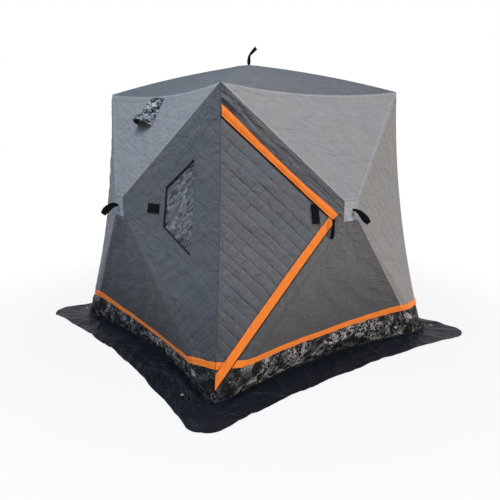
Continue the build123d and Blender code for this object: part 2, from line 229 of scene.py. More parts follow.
def stitches(node, along, shift, pitch):
    """Lines of stitches: 1 on a line, 0 beside it."""
    turns = node("Math DIVIDE", node("Math ADD", along, shift), pitch)
    share = node("Math ABSOLUTE", node("Math SUBTRACT", turns, node("Math ROUND", turns)))
    return node("MapRange", node("Math MULTIPLY", share, pitch), 0.0, 2 * stitch_line, 1.0, 0.0)


def woven(name, code, cool, tone, crinkle, seam_code="#2A2C30", quilted=True, stitch_thread_and_shade=0.06, welt_highlight=0.0,
          fold_turn=-38, drawn=1.0, painted_ground_shade=0.0):
    """Woven polyester: a colour with warmer and cooler patches, stitches, sewn edges, creases and threads.

    Drawn cloth creases in one direction, and slack cloth in every direction. The colour is darkened towards
    the ground below about a metre: painted shade, where the foot of a wall gets less light. A paler strip
    beside each seam, where the turned-in seam stands up, is a painted highlight."""
    material, node = new_material(name)
    across, up, quilting = cloth_values(node)
    place, seam = cloth_place(node), seam_distance(node)
    patches = node("TexNoise", place, 2.6, 5.0, 0.62, Distortion=0.4)
    shade = node("Mix", node("MapRange", patches, 0.36, 0.64), colour(code), colour(cool))
    worn = node("TexNoise", place, 9.0, 5.0, 0.66, Distortion=0.5)
    worn = node("MapRange", worn, 0.30, 0.70, 1 - tone, 1 + tone)
    grain = drawn_noise(node, place, (80, 80 + 60 * drawn), fold_turn, roughness=0.7)
    worn = node("Math MULTIPLY", worn, node("MapRange", grain, 0.35, 0.65, 1 - tone, 1 + tone))
    # Painted shade: darker towards the ground. From here on worn carries this shade as well as the wear.
    if painted_ground_shade:
        risen = node("SeparateXYZ", node("TexCoord", out="Object"), out="Z")
        risen = node("Math ADD", risen, node("Math MULTIPLY", patches, 0.3))
        worn = node("Math MULTIPLY", worn, node("MapRange", risen, 0.30, 1.0, 1 - painted_ground_shade, 1.0))
    shade = node("Mix MULTIPLY", 1.0, shade, node("CombineColor", worn, worn, worn))

    long_folds = drawn_noise(node, place, (5.5, 8 + 10 * drawn), fold_turn, 4.0, 0.55, 0.6)
    ridges = node("MapRange", ridged(node, long_folds), 0.0, 0.14, 1.0, 0.0)
    short_folds = drawn_noise(node, place, (22, 30 + 12 * drawn), fold_turn + 62, 3.0, 0.6, 0.9)
    streaks = drawn_noise(node, place, (45, 55 + 60 * drawn), fold_turn, 3.0, 0.6, 0.4)
    gathered = node("Math MULTIPLY", short_folds, node("MapRange", seam, 0.0, 0.07, 1.9, 0.8))
    folds = node("Math ADD", node("Math MULTIPLY", ridges, 0.8), node("Math MULTIPLY", gathered, 1.1))
    folds = node("Math ADD", folds, node("Math MULTIPLY", streaks, 0.5))
    normal = node("Bump", 1.0, crinkle, Height=folds)
    threads = node("TexChecker", place, Scale=1 / weave, out="Fac")
    normal = node("Bump", 0.5, weave_depth, Height=threads, Normal=normal)

    if quilted:
        shift = node("Math SUBTRACT", node("TexNoise", place, 11.0, 2.0), 0.5)
        shift = node("Math MULTIPLY", shift, 0.012)
        down = node("Math MULTIPLY", node("Math ADD", across, up), diagonal)
        rise = node("Math MULTIPLY", node("Math SUBTRACT", across, up), diagonal)
        rise_line = stitches(node, rise, shift, stitch_pitch_up)
        line = node("Math MAXIMUM", stitches(node, down, shift, stitch_pitch_down),
                    node("Math MULTIPLY", rise_line, rise_strength))
        uneven = node("MapRange", node("TexNoise", place, 7.0, 3.0), 0.35, 0.65, 0.35, 1.0)
        line = node("Math MULTIPLY", node("Math MULTIPLY", line, quilting), uneven)
        # The lines of stitches are drawn in the seam colour: partly the thread, partly painted shade in
        # their dimples.
        shade = node("Mix", node("Math MULTIPLY", line, stitch_thread_and_shade), shade, colour(seam_code))
        normal = node("Bump", 1.0, stitch_dip, Height=node("Math SUBTRACT", 1.0, line), Normal=normal)

    # The seam and the row of stitches beside it are drawn in the seam colour: partly the dark seam and its
    # thread, partly painted shade in the fold where the panels meet.
    edge = node("MapRange", seam, 0.0, 0.006, 0.45, 0.0)
    fold = node("Math ABSOLUTE", node("Math SUBTRACT", seam, hem_line))
    fold = node("MapRange", fold, 0.0, hem_line_half, 0.16, 0.0)
    # Painted highlight: a paler strip beside each seam, where the turned-in seam stands up and catches the
    # light.
    if welt_highlight:
        shade = node("Mix", node("MapRange", seam, 0.014, 0.018, welt_highlight, 0.0), shade, colour("#D0D4D8"))
    shade = node("Mix", node("Math MAXIMUM", edge, fold), shade, colour(seam_code))
    return finished(material, node, Base_Color=shade, Normal=normal, Roughness=0.82, IOR=1.47,
                    Specular_IOR_Level=0.22, Sheen_Weight=0.10, Sheen_Roughness=0.6)


finishes = {
    "roof_fabric": woven("quilted polyester, blue grey", "#6F7172", "#6C727A", 0.04, 0.0058, "#3E4248",
                         fold_turn=-4),
    "pale_fabric": woven("quilted polyester, pale grey", "#A09F9E", "#9C9EA2", 0.03, 0.0040, "#6E7075",
                         stitch_thread_and_shade=0.05, welt_highlight=0.20, fold_turn=-12),
    "dark_fabric": woven("quilted polyester, dark grey", "#747475", "#6E7277", 0.06, 0.0034, stitch_thread_and_shade=0.10,
                         drawn=0.15, painted_ground_shade=0.36),
    "lower_fabric": woven("plain polyester, charcoal", "#7A7B7D", "#73767B", 0.035, 0.0052, "#3A3B3E",
                          quilted=False, fold_turn=-4, drawn=0.9, painted_ground_shade=0.38),
    "gathered_fabric": woven("plain polyester, gathered along a zip", "#747475", "#6A6E74", 0.08, 0.0085,
                             quilted=False, drawn=1.5, fold_turn=-43),
    "patch_fabric": woven("coated patch, silver grey", "#BEC1C5", "#B8C0CA", 0.04, 0.0034, "#6F7680",
                          quilted=False),
}
print("cloth finishes", len(finishes))

# %% [markdown]
# ## Webbing, tape and printed cloth
#
# The orange trim and the black straps are woven webbing: a ribbed tape, with ribs across its length. The
# bottom of each wall is cloth printed with a bark and moss pattern in black, grey and off-white, as is
# the vent hood. The pattern here is made from layers of noise, so it is no maker's own.

# %% Webbing, print, skirt and film
def tinted(base, factor):
    """A colour made darker or paler."""
    return (*(min(1.0, value * factor) for value in base[:3]), 1.0)


def ribbed(name, code, rib, tone, sheen, gloss, painted_glow=0.0):
    """Woven webbing, ribbed across its length. A painted glow, light of the webbing's own colour given off
    whatever the lamps do, makes it brighter than the light it gets.
    """
    material, node = new_material(name)
    across, place = cloth_values(node)[0], cloth_place(node)
    base = colour(code)
    dark = tinted(base, 1 - tone)
    worn = node("MapRange", node("TexNoise", place, 22.0, 4.0, 0.6), 0.32, 0.68)
    shade = node("Mix", worn, dark, tinted(base, 1 + tone))
    ribs = node("Math SINE", node("Math MULTIPLY", across, 2 * math.pi / rib))
    ribs = node("MapRange", ribs, -1.0, 1.0)
    shade = node("Mix", node("Math MULTIPLY", ribs, 0.10), shade, dark)
    creases = drawn_noise(node, place, (4, 55), 0, 3.0, 0.55, 0.4)
    # Painted shade: the webbing is drawn darker in its long creases.
    shade = node("Mix MULTIPLY", node("MapRange", creases, 0.30, 0.46, 3 * tone, 0.0), shade, dark)
    normal = node("Bump", 1.0, 0.005, Height=creases)
    normal = node("Bump", 0.8, 0.0004, Height=ribs, Normal=normal)
    normal = node("Bump", 0.8, 0.0030, Height=drawn_noise(node, place, (30, 70), 0, 4.0), Normal=normal)
    return finished(material, node, Base_Color=shade, Normal=normal, Roughness=0.75, IOR=1.47,
                    Specular_IOR_Level=gloss, Sheen_Weight=sheen, Emission_Color=base,
                    Emission_Strength=painted_glow)


def printed(name, fine=1.0, codes=("#07080A", "#404347", "#A4A6A8"), crease=0.006):
    """Cloth printed with bark and moss in greys."""
    material, node = new_material(name)
    place = cloth_place(node)
    ground_colour, middle_colour, light_colour = map(colour, codes)
    moss = drawn_noise(node, place, (12 * fine, 16 * fine), -15, 7.0, 0.78, 0.4)
    bark = drawn_noise(node, place, (4 * fine, 6 * fine), 24, 3.0, 0.6, 0.5)
    flecks = drawn_noise(node, place, (55 * fine, 70 * fine), 35, 3.0, 0.75, 0.5)
    veins = ridged(node, drawn_noise(node, place, (14 * fine, 24 * fine), 62, 5.0, 0.7, 0.5))
    shade = node("Mix", node("MapRange", moss, 0.505, 0.53), ground_colour, middle_colour)
    lit = node("Math MULTIPLY", node("MapRange", bark, 0.45, 0.56), node("MapRange", moss, 0.52, 0.56))
    shade = node("Mix", node("Math MULTIPLY", lit, 0.8), shade, light_colour)
    bright = node("Math MULTIPLY", node("MapRange", veins, 0.006, 0.018, 1.0, 0.0),
                  node("MapRange", moss, 0.49, 0.51))
    chips = node("Math MULTIPLY", node("MapRange", bark, 0.46, 0.54), node("MapRange", flecks, 0.60, 0.62))
    bright = node("Math MAXIMUM", bright, chips)
    bright = node("Math MULTIPLY", bright, node("MapRange", bark, 0.42, 0.55, 0.10, 1.0))
    shade = node("Mix", bright, shade, colour("#FFFFFF"))
    shade = node("Mix", node("MapRange", flecks, 0.37, 0.40, 1.0, 0.0), shade, ground_colour)
    folds = drawn_noise(node, place, (9 * fine, 22 * fine), 78, 4.0, 0.6, 0.7)
    normal = node("Bump", 1.0, crease, Height=folds)
    return finished(material, node, Base_Color=shade, Normal=normal, Roughness=0.7, IOR=1.47,
                    Specular_IOR_Level=0.2)


def coated(name, code, roughness, crinkle):
    """Heavy coated cloth, smooth and a little glossy, with soft creases."""
    material, node = new_material(name)
    place = cloth_place(node)
    base = colour(code)
    shade = node("Mix", node("TexNoise", place, 5.0, 4.0, 0.6), base, tinted(base, 1.4))
    creases = ridged(node, node("TexNoise", place, 4.0, 4.0, 0.5, Distortion=0.5))
    normal = node("Bump", 1.0, crinkle, Height=node("MapRange", creases, 0.0, 0.12, 1.0, 0.0))
    normal = node("Bump", 0.6, crinkle * 0.5, Height=node("TexNoise", place, 34.0, 3.0), Normal=normal)
    return finished(material, node, Base_Color=shade, Normal=normal, Roughness=roughness, IOR=1.5,
                    Specular_IOR_Level=0.22)


def film(name):
    """Clear vinyl film, creased like foil. Its silvery look is painted: highlights and reflections along the
    creases, and painted shade between them.
    """
    material, node = new_material(name)
    place = cloth_place(node)
    painted_glints_and_shade = ((0.36, 0.43, "#4A4E53"), (0.45, 0.50, "#B4B9BF"),
              (0.52, 0.56, "#14171A"), (0.58, 0.66, "#8B9096"))
    shade, height = colour("#16181B"), 0.0
    for scales, turn, share in (((7, 22), 58, 1.0), ((12, 42), 30, 0.35)):
        fold = drawn_noise(node, place, scales, turn, 2.5, 0.5, 0.4)
        for low, high, code in painted_glints_and_shade:
            lit = node("Math MULTIPLY", node("MapRange", fold, low, high), share)
            shade = node("Mix", lit, shade, colour(code))
        height = node("Math ADD", height, node("Math MULTIPLY", fold, share))
    # Painted shade along the film's edge, where it sits behind the wall.
    edge = node("MapRange", seam_distance(node), 0.0, 0.008, 0.75, 0.0)
    shade = node("Mix", edge, shade, colour("#2A2D31"))
    normal = node("Bump", 1.0, 0.020, Height=height)
    return finished(material, node, Base_Color=shade, Normal=normal, Roughness=0.20, IOR=1.53,
                    Transmission_Weight=0.15, Specular_IOR_Level=0.3)


# The orange webbing has a painted glow: it gives off light of its own, though it is no lamp.
finishes["orange_fabric"] = ribbed("polyester webbing, orange", "#FF8830", 0.0045, 0.04, 0.12, 0.35, 0.20)
finishes["black_webbing"] = ribbed("polyester webbing, black", "#0C0E12", 0.0040, 0.25, 0.02, 0.08)
finishes["camo_fabric"] = printed("printed polyester, bark and moss")
# The hood's copy of the print is paler, with near-white streaks: the print, with painted sheen and
# highlights of crumpled, glossy cloth.
finishes["hood_print_painted_sheen"] = printed("printed polyester, bark and moss, silvery", 1.8,
                                  ("#3A3D41", "#A0A4A9", "#F0F2F5"), 0.012)
finishes["skirt_fabric"] = coated("coated oxford cloth, navy black", "#0B121B", 0.52, 0.010)
finishes["window_film"] = film("creased vinyl film")
print("finishes", len(finishes))

# %% [markdown]
# ## Metal, mesh and plastic
#
# The eyelets are rolled brass. The vent is closed by open polyester mesh, drawn as holes that let light
# through. The poles are pultruded fibreglass, smooth with fine lines along them, and the hubs are
# moulded nylon with the fine grain of the mould.

# %% Brass, mesh and pole finishes
def pressed_brass(name):
    """Rolled brass, dulled by weather."""
    material, node = new_material(name)
    worn = node("TexNoise", node("TexCoord", out="Object"), 180.0, 4.0, 0.6)
    shade = node("Mix", node("MapRange", worn, 0.35, 0.65), colour("#8C6B38"), colour("#D9BC82"))
    return finished(material, node, Base_Color=shade, Normal=node("Bump", 1.0, 0.0002, Height=worn),
                    Roughness=node("MapRange", worn, 0.2, 0.8, 0.28, 0.5), Metallic=1.0)


def open_mesh(name):
    """Fine mesh: the holes are see-through, and drawn larger than the real 1 mm so that they show."""
    material, node = new_material(name)
    hole = 0.004
    cells = [node("Math PINGPONG", side, hole / 2) for side in cloth_values(node)[:2]]
    solid = [node("MapRange", cell, hole * 0.12, hole * 0.18, 1.0, 0.0) for cell in cells]
    tint = node("Mix", node("TexNoise", cloth_place(node), 40.0, 3.0), colour("#0E1013"), colour("#202327"))
    return finished(material, node, Base_Color=tint, Alpha=node("Math MAXIMUM", *solid), Roughness=0.8)


def moulded(name, code, roughness, scale, depth):
    """Smooth plastic with a fine grain."""
    material, node = new_material(name)
    grain = node("TexNoise", node("TexCoord", out="Object"), scale, 3.0)
    shade = node("Mix", grain, colour(code), colour("#33363B"))
    return finished(material, node, Base_Color=shade, Normal=node("Bump", 1.0, depth, Height=grain),
                    Roughness=roughness, IOR=1.5)


finishes["brass"] = pressed_brass("rolled brass")
finishes["vent_mesh"] = open_mesh("polyester mesh")
finishes["pole_fibreglass"] = moulded("pultruded fibreglass, black", "#131518", 0.32, 90.0, 0.0001)
finishes["hub_plastic"] = moulded("moulded nylon, black", "#16181B", 0.5, 400.0, 0.0002)
print("finishes", len(finishes))

# %% Give the frame's own hard parts their finish
for node_name in ("wall_poles", "roof_poles", "pole_hubs", "pole_boots"):
    kept = frame["nodes"][node_name]
    kept.data.materials.clear()
    kept.data.materials.append(finishes["pole_fibreglass" if "poles" in node_name else "hub_plastic"])
print("poles, hubs and boots keep the frame's shapes")

# %% [markdown]
# ## The shape of a wall
#
# A wall has four panels round its hub patch: one above, one below and one on each side. Each panel is cut
# flat, and pulled between an edge of the patch and a bowed edge of the wall. So a flat panel is
# made first, in metres across and up, and one function then gives each flat place its place in space.
# Every wall is drawn as the front wall and turned by quarter turns.

# %% Bowed edges
def bowed(start, end, bow, level=False):
    """An edge that tension pulls in towards the centre: a function from 0 to 1 along it."""
    pull = centre - (start + end) / 2
    if level:
        pull.z = 0
    pull.normalize()
    return lambda share: start.lerp(end, share) + pull * (4 * bow * share * (1 - share))


patch_corners = {(x, z): Vector((x * patch_half, -hub_reach, hub_height + z * patch_half))
                 for x in (-1, 1) for z in (-1, 1)}
eave_left, eave_right = (Vector((x * eave_half, -eave_half, eave_height)) for x in (-1, 1))
foot_left, foot_right = (Vector((x * foot_half, -base_half, ground)) for x in (-1, 1))
ground_left = Vector((-base_half, -base_half, ground))
eave = bowed(eave_left, eave_right, eave_bow)
corner_seam = bowed(ground_left, eave_left, seam_bow)
hem = bowed(foot_left, foot_right, hem_bow, level=True)
print("eave dips to", round(eave(0.5).z, 3), "hem comes in to", round(hem(0.5).y, 3))


# %% The panels of a wall
# A flat panel: its corners, its side edges at a height, where a flat place goes, and where along the wall's
# foot it starts and how far it goes there, as the next step counts it.
Panel = namedtuple("Panel", "corners sides place first span", defaults=(0, 0))


def ease(value):
    value = min(max(value, 0.0), 1.0)
    return value * value * (3 - 2 * value)


def trapezium(low_half, low, high_half, high):
    return [(-low_half, low), (low_half, low), (high_half, high), (-high_half, high)]


def square(half):
    return trapezium(half, -half, half, half)


def fan(inner_ends, inner_half, inner_up, outer_edge, outer_half, outer_up):
    """A panel from a straight edge to a bowed one: its half width at a height, and its places in space."""
    def out(up):
        return (up - inner_up) / (outer_up - inner_up)

    def half(up):
        return inner_half + (outer_half - inner_half) * out(up)

    def place(across, up):
        share = 0.5 + across / (2 * half(up))
        return inner_ends[0].lerp(inner_ends[1], share).lerp(outer_edge(share), out(up))

    return half, place


_, top_place = fan([patch_corners[-1, 1], patch_corners[1, 1]], patch_half, patch_top,
                   eave, eave_half, eave_height)
lower_half, lower_place = fan([patch_corners[-1, -1], patch_corners[1, -1]], patch_half, patch_bottom,
                              hem, foot_half, ground)


def left_sides(up):
    """The corner seam and the lower pole seam at a height."""
    risen = (up - ground) / (eave_height - ground)
    return -base_half + (base_half - eave_half) * risen, -lower_half(up)


def left_place(across, up):
    """Below the line from the patch to the ground corner the panel is flat; above it, it is a fan."""
    reach = base_half - patch_half
    if up < ground + (across + base_half) * (patch_bottom - ground) / reach:
        risen = (up - ground) / (patch_bottom - ground)
        share = (across - (-base_half + reach * risen)) / (base_half - foot_half) / max(1 - risen, 1e-6)
        on_ground = ground_left.lerp(foot_left, share)
        return on_ground.lerp(patch_corners[-1, -1], risen)
    low, high = 0.0, 1.0
    for _ in range(26):
        middle = (low + high) / 2
        start_up = patch_bottom + (patch_top - patch_bottom) * middle
        end_across = -base_half + (base_half - eave_half) * middle
        out = (across + patch_half) / (end_across + patch_half)
        height = start_up + (ground + (eave_height - ground) * middle - start_up) * out
        low, high = (middle, high) if height < up else (low, middle)
    start = patch_corners[-1, -1].lerp(patch_corners[-1, 1], middle)
    return start.lerp(corner_seam(middle), out)


def mirrored(panel):
    """The same panel on the other side of the wall."""
    corners = [(-across, up) for across, up in reversed(panel.corners)]

    def sides(up):
        left, right = panel.sides(up)
        return -right, -left

    def place(across, up):
        point = panel.place(-across, up)
        return Vector((-point.x, point.y, point.z))

    return Panel(corners, sides, place, 1, 1)


top_panel = Panel(trapezium(patch_half, patch_top, eave_half, eave_height), None, top_place)
lower_panel = Panel(trapezium(foot_half, ground, patch_half, patch_bottom),
                    lambda up: (-lower_half(up), lower_half(up)), lower_place, -1, 2)
left_panel = Panel([(-base_half, ground), (-foot_half, ground), (-patch_half, patch_bottom),
                    (-patch_half, patch_top), (-eave_half, eave_height)], left_sides, left_place, -2, 1)
right_panel = mirrored(left_panel)
print("panels of a wall:", 4)

# %% [markdown]
# ## The hem
#
# The orange band isn't level. The poles lift the cloth at their feet, and it hangs lower in between. The
# heights below are read along each wall, from its left corner at -2, its left pole foot at -1, its right
# pole foot at 1, to its right corner at 2. The cloth slides up or down with the band, more near it
# and less higher up.

# %% Heights of the orange band
slide_top = 0.80
near_corner, right_corner, far_corner, left_corner = 0.238, 0.262, 0.242, 0.230
window_wall_band = [(-1, 0.293), (-0.57, 0.230), (0.07, 0.180), (0.61, 0.185), (0.93, 0.215), (1, 0.222),
                    (1.37, 0.240)]
band_heights = {
    "front": [(-2, near_corner), (-1, 0.237), (-0.14, 0.234), (0.29, 0.252), (0.71, 0.275), (1, 0.290),
              (1.5, 0.276), (2, right_corner)],
    "right": [(-2, right_corner)] + window_wall_band + [(2, far_corner)],
    "back": [(-2, far_corner), (-1, 0.262), (0, 0.205), (1, 0.266), (2, left_corner)],
    "left": [(-2, left_corner)] + window_wall_band + [(2, near_corner)],
}


def smooth(before, low, high, after, t):
    """A place on a smooth curve between the middle two of four places, or of four numbers."""
    return 0.5 * (2 * low + (high - before) * t + (2 * before - 5 * low + 4 * high - after) * t ** 2
                  + (3 * low - before - 3 * high + after) * t ** 3)


def band_height(wall, along):
    """The top of the orange band, smooth through the heights above."""
    points = band_heights[wall]
    index = max(i for i in range(len(points) - 1) if points[i][0] <= along or i == 0)
    (start, low), (end, high) = points[index], points[index + 1]
    before = points[max(index - 1, 0)][1] if start not in (-1, 1) else low
    after = points[min(index + 2, len(points) - 1)][1] if end not in (-1, 1) else high
    return smooth(before, low, high, after, (along - start) / (end - start))


def lifted(panel, wall, across, up):
    """A flat place after the cloth has slid with the band."""
    if not panel.span or up > slide_top:
        return across, up
    left, right = panel.sides(up)
    share = (across - left) / (right - left)
    change = band_height(wall, panel.first + panel.span * share) - band_top
    if up > band_top:
        change *= ease((slide_top - up) / (slide_top - band_top))
    else:
        change *= (up - ground) / (band_top - ground)
    left, right = panel.sides(up + change)
    return left + (right - left) * share, up + change


for wall in walls:
    print(wall, "band", [round(band_height(wall, step / 2), 3) for step in range(-4, 5)])

# %% [markdown]
# ## Cutting cloth
#
# A piece of cloth starts as a flat grid. On quilted cloth the grid is turned by 45 degrees and its lines
# lie closer together beside the stitches, so that the cloth can turn sharply there. The grid is cut to the
# flat outline with planes, laid on the wall, and cut again along the zips or the window.

# %% Grids, cuts and holes
close_rows = (0.0, 0.085, 0.25, 0.5, 0.75, 0.915)


def cloth_grid(corners, turn=45, pitches=(stitch_pitch_down, stitch_pitch_up), shares=close_rows):
    """A flat grid, turned by an angle, cut to an anticlockwise outline."""
    cloth = bmesh.new()
    unturned = Matrix.Rotation(math.radians(-turn), 2)
    turned = Matrix.Rotation(math.radians(turn), 2)
    flat = [unturned @ Vector(corner) for corner in corners]
    low = [math.floor(min(place[i] for place in flat) / pitches[i]) for i in (0, 1)]
    high = [math.ceil(max(place[i] for place in flat) / pitches[i]) for i in (0, 1)]
    parts = len(shares)
    counts = [parts * (high[i] - low[i]) for i in (0, 1)]
    bmesh.ops.create_grid(cloth, x_segments=counts[0], y_segments=counts[1], size=0.5)
    for vert in cloth.verts:
        steps = [round((vert.co[i] + 0.5) * counts[i]) for i in (0, 1)]
        place = [(low[i] + steps[i] // parts + shares[steps[i] % parts]) * pitches[i] for i in (0, 1)]
        vert.co.xy = turned @ Vector(place)
    cut_flat(cloth, corners)
    return cloth


def even_grid(corners, step, turn=0):
    """A flat grid of small squares, for cloth with no quilting."""
    return cloth_grid(corners, turn, (step, step), (0.0,))


def edges_of(corners):
    return zip(corners, corners[1:] + corners[:1])


def cut_flat(cloth, corners):
    """Cut a flat grid to an anticlockwise outline."""
    for start, end in edges_of(corners):
        along = (Vector((*end, 0)) - Vector((*start, 0))).normalized()
        keep_side(cloth, Vector((*start, 0)), Vector((-along.y, along.x, 0)))


def keep_side(cloth, point, normal, faces=None, clear=True):
    """Cut with a plane, and keep the side that the normal points to."""
    faces = cloth.faces[:] if faces is None else faces
    edges = list({edge for face in faces for edge in face.edges})
    verts = list({vert for face in faces for vert in face.verts})
    bmesh.ops.bisect_plane(cloth, geom=verts + edges + faces, dist=1e-5, plane_co=point, plane_no=normal,
                           clear_inner=clear)


def line_side(start, end):
    """A point and the direction to the left of a line drawn in front elevation."""
    along = Vector((end[0] - start[0], 0, end[1] - start[1])).normalized()
    return Vector((start[0], 0, start[1])), Vector((-along.z, 0, along.x))


def cut_left(cloth, start, end, offset):
    """Keep what is to the left of a line in elevation, past an offset. The cut becomes a seam."""
    point, left = line_side(start, end)
    keep_side(cloth, point + left * offset, left)
    seam = cloth.verts.layers.float["seam"]
    for vert in cloth.verts:
        vert[seam] = min(vert[seam], max(0.0, (vert.co - point).dot(left) - offset))


def depth_in(sides, place):
    """How far inside an outline a place is. Each side is a point and the direction inwards."""
    return min((place - point).dot(inwards) for point, inwards in sides)


def open_hole(cloth, sides):
    """Cut an opening, with planes that reach only a little past it."""
    margin = 0.03
    for point, inwards in sides:
        near = [face for face in cloth.faces if depth_in(sides, face.calc_center_median()) > -margin]
        keep_side(cloth, point, inwards, near, clear=False)
    inside = [face for face in cloth.faces if depth_in(sides, face.calc_center_median()) > 0]
    bmesh.ops.delete(cloth, geom=inside, context="FACES")


def cut_hole(cloth, outline):
    """Cut an opening with an anticlockwise outline in elevation. Its edge becomes a seam."""
    sides = [line_side(start, end) for start, end in edges_of(outline)]
    open_hole(cloth, sides)
    seam = cloth.verts.layers.float["seam"]
    for vert in cloth.verts:
        vert[seam] = min(vert[seam], max(0.0, -depth_in(sides, vert.co)))


def flat_distance(corners, place):
    """The distance from a flat place to the nearest edge of the outline."""
    best = math.inf
    for start, end in edges_of(corners):
        start, end = Vector(start), Vector(end)
        along = end - start
        share = min(max((place - start).dot(along) / along.length_squared, 0), 1)
        best = min(best, (place - start - along * share).length)
    return best


print("cutting tools ready")

# %% [markdown]
# ## Relief of the cloth
#
# Quilted cloth is drawn in at every line of stitches and stands up between them. Tension puts folds in it
# that fan out from where it is held: the hub patches and the corners. The folds are real geometry,
# pushed along the cloth's normals, and they die away at the seams so that neighbours still meet.

# %% Quilting and folds
quilt_depth = 0.0032
stitch_softness = 0.008


def quilt_height(across, up):
    """From 0 on a line of stitches to nearly 1 in the middle of a square."""
    lines = (((up + across) * diagonal, stitch_pitch_down, 1.0),
             ((up - across) * diagonal, stitch_pitch_up, rise_strength))
    return 1 - max(strength * math.exp(-abs(place / pitch - round(place / pitch)) * pitch / stitch_softness)
                   for place, pitch, strength in lines)


def slanted(across, up, seed, turn, along_scale, cross_scale):
    """Noise drawn out in one direction."""
    angle = math.radians(turn)
    along = across * math.cos(angle) + up * math.sin(angle)
    cross = up * math.cos(angle) - across * math.sin(angle)
    return noise.noise(Vector((along * along_scale, cross * cross_scale, seed)))


def fanned(across, up, seed, anchor):
    """Folds that fan out from a place that holds the cloth."""
    from_across, from_up, height, reach, folds_per_turn = anchor
    away = Vector((across - from_across, up - from_up))
    distance = away.length
    angle = math.atan2(away.y, away.x)
    wave = noise.noise(Vector((math.cos(angle) * folds_per_turn, math.sin(angle) * folds_per_turn,
                               seed + distance * 1.5)))
    return height * (1 - 2.2 * abs(wave)) * math.exp(-distance / reach) * ease(distance / 0.05)


def fold_height(across, up, seam, seed, anchors, softness):
    """How far the folds lift the cloth, in metres."""
    broad = noise.noise(Vector((across * 1.9, up * 1.9, seed))) * 0.009
    long_folds = (0.5 - abs(slanted(across, up, seed + 7, -38, 2.2, 8.0))) * 0.012
    cross_folds = (0.4 - abs(slanted(across, up, seed + 13, 34, 3.0, 12.0))) * 0.009
    small = noise.noise(Vector((across * 15, up * 15, seed + 21))) * 0.0026
    small += noise.noise(Vector((across * 36, up * 36, seed + 25))) * 0.0036 * math.exp(-seam / 0.035)
    held = sum(fanned(across, up, seed + 31, anchor) for anchor in anchors)
    return ((broad + (long_folds + cross_folds) * softness) * ease(seam / 0.16)
            + (held + small) * ease(seam / 0.035))


# Each place that holds the cloth: across, up, the height of its folds, how far they reach and how many.
hub_anchors = [(x * patch_half, hub_height + z * patch_half, 0.006, 0.08, 11)
               for x in (-1, 1) for z in (-1, 1)]
eave_anchors = [(x * eave_half, eave_height, 0.008, 0.25, 12) for x in (-1, 1)]
foot_anchors = [(x * foot_half, 0.15, 0.010, 0.30, 10) for x in (-1, 1)]
print("relief ready")

# %% [markdown]
# ## From cloth to a finished piece
#
# The flat cloth is laid on its panel, cut, given its relief and then a thickness, so that it is a closed
# sheet. It is turned to its wall, and joined to the frame: which body it moves with, which parts of the
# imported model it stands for, and which finish it takes.

# %% Lay cloth on a panel and finish a piece
made = []


def cloth_layers(cloth):
    """The two attributes of a mesh of cloth."""
    layers = cloth.verts.layers
    return (layers.float_vector.get("cloth") or layers.float_vector.new("cloth"),
            layers.float.get("seam") or layers.float.new("seam"))


def no_quilting(across, up, seam):
    return 0.0


def lay_cloth(panel, wall, quilting=no_quilting, corners=None, grid=None):
    """Flat cloth laid on its panel, with its cloth and seam attributes."""
    corners = corners or panel.corners
    cloth = grid or cloth_grid(corners)
    cloth_layer, seam_layer = cloth_layers(cloth)
    for vert in cloth.verts:
        across, up = vert.co.xy
        seam = flat_distance(corners, vert.co.xy)
        vert[cloth_layer] = (across, up, quilting(across, up, seam))
        vert[seam_layer] = seam
        vert.co = panel.place(*lifted(panel, wall, across, up))
    return cloth


def shift(cloth, move_of):
    """Move every point by what a function gives for it, worked out before any of them moves."""
    cloth.normal_update()
    moves = [move_of(vert) for vert in cloth.verts]
    for vert, move in zip(cloth.verts, moves):
        vert.co += move


def raise_relief(cloth, seed, anchors, depth=quilt_depth, offset=0.0, softness=1.0, lap=0.0):
    """Push the cloth out along its normals by its quilting, its folds and the lap beside its seams."""
    cloth_layer, seam_layer = cloth_layers(cloth)

    def move_of(vert):
        (across, up, quilting), seam = vert[cloth_layer], vert[seam_layer]
        height = fold_height(across, up, seam, seed, anchors, softness) + offset
        if quilting > 0:
            height += depth * quilting * quilt_height(across, up) * ease(seam / 0.02)
        height += lap * ease(seam / 0.004) * (1 - ease((seam - 0.014) / 0.004))
        return vert.normal * height

    shift(cloth, move_of)


def turn_to_wall(cloth, quarters):
    """Turn a mesh from the front wall's place to its own wall's."""
    bmesh.ops.rotate(cloth, verts=cloth.verts[:], cent=(0, 0, 0),
                     matrix=Matrix.Rotation(math.radians(90 * quarters), 3, "Z"))


def joined(parts, merge=0.0):
    """Several meshes in one, each turned to its wall, and sewn together where they meet."""
    whole = bmesh.new()
    cloth_layers(whole)
    for part, quarters in parts:
        turn_to_wall(part, quarters)
        kept = bpy.data.meshes.new("part")
        part.to_mesh(kept)
        part.free()
        whole.from_mesh(kept)
        bpy.data.meshes.remove(kept)
    if merge:
        bmesh.ops.remove_doubles(whole, verts=whole.verts[:], dist=merge)
    return whole


def surface(cloth):
    return sum(face.calc_area() for face in cloth.faces)


def thicken(cloth, thickness):
    """Give the sheet its thickness, on the inside."""
    bmesh.ops.solidify(cloth, geom=cloth.faces[:], thickness=thickness)


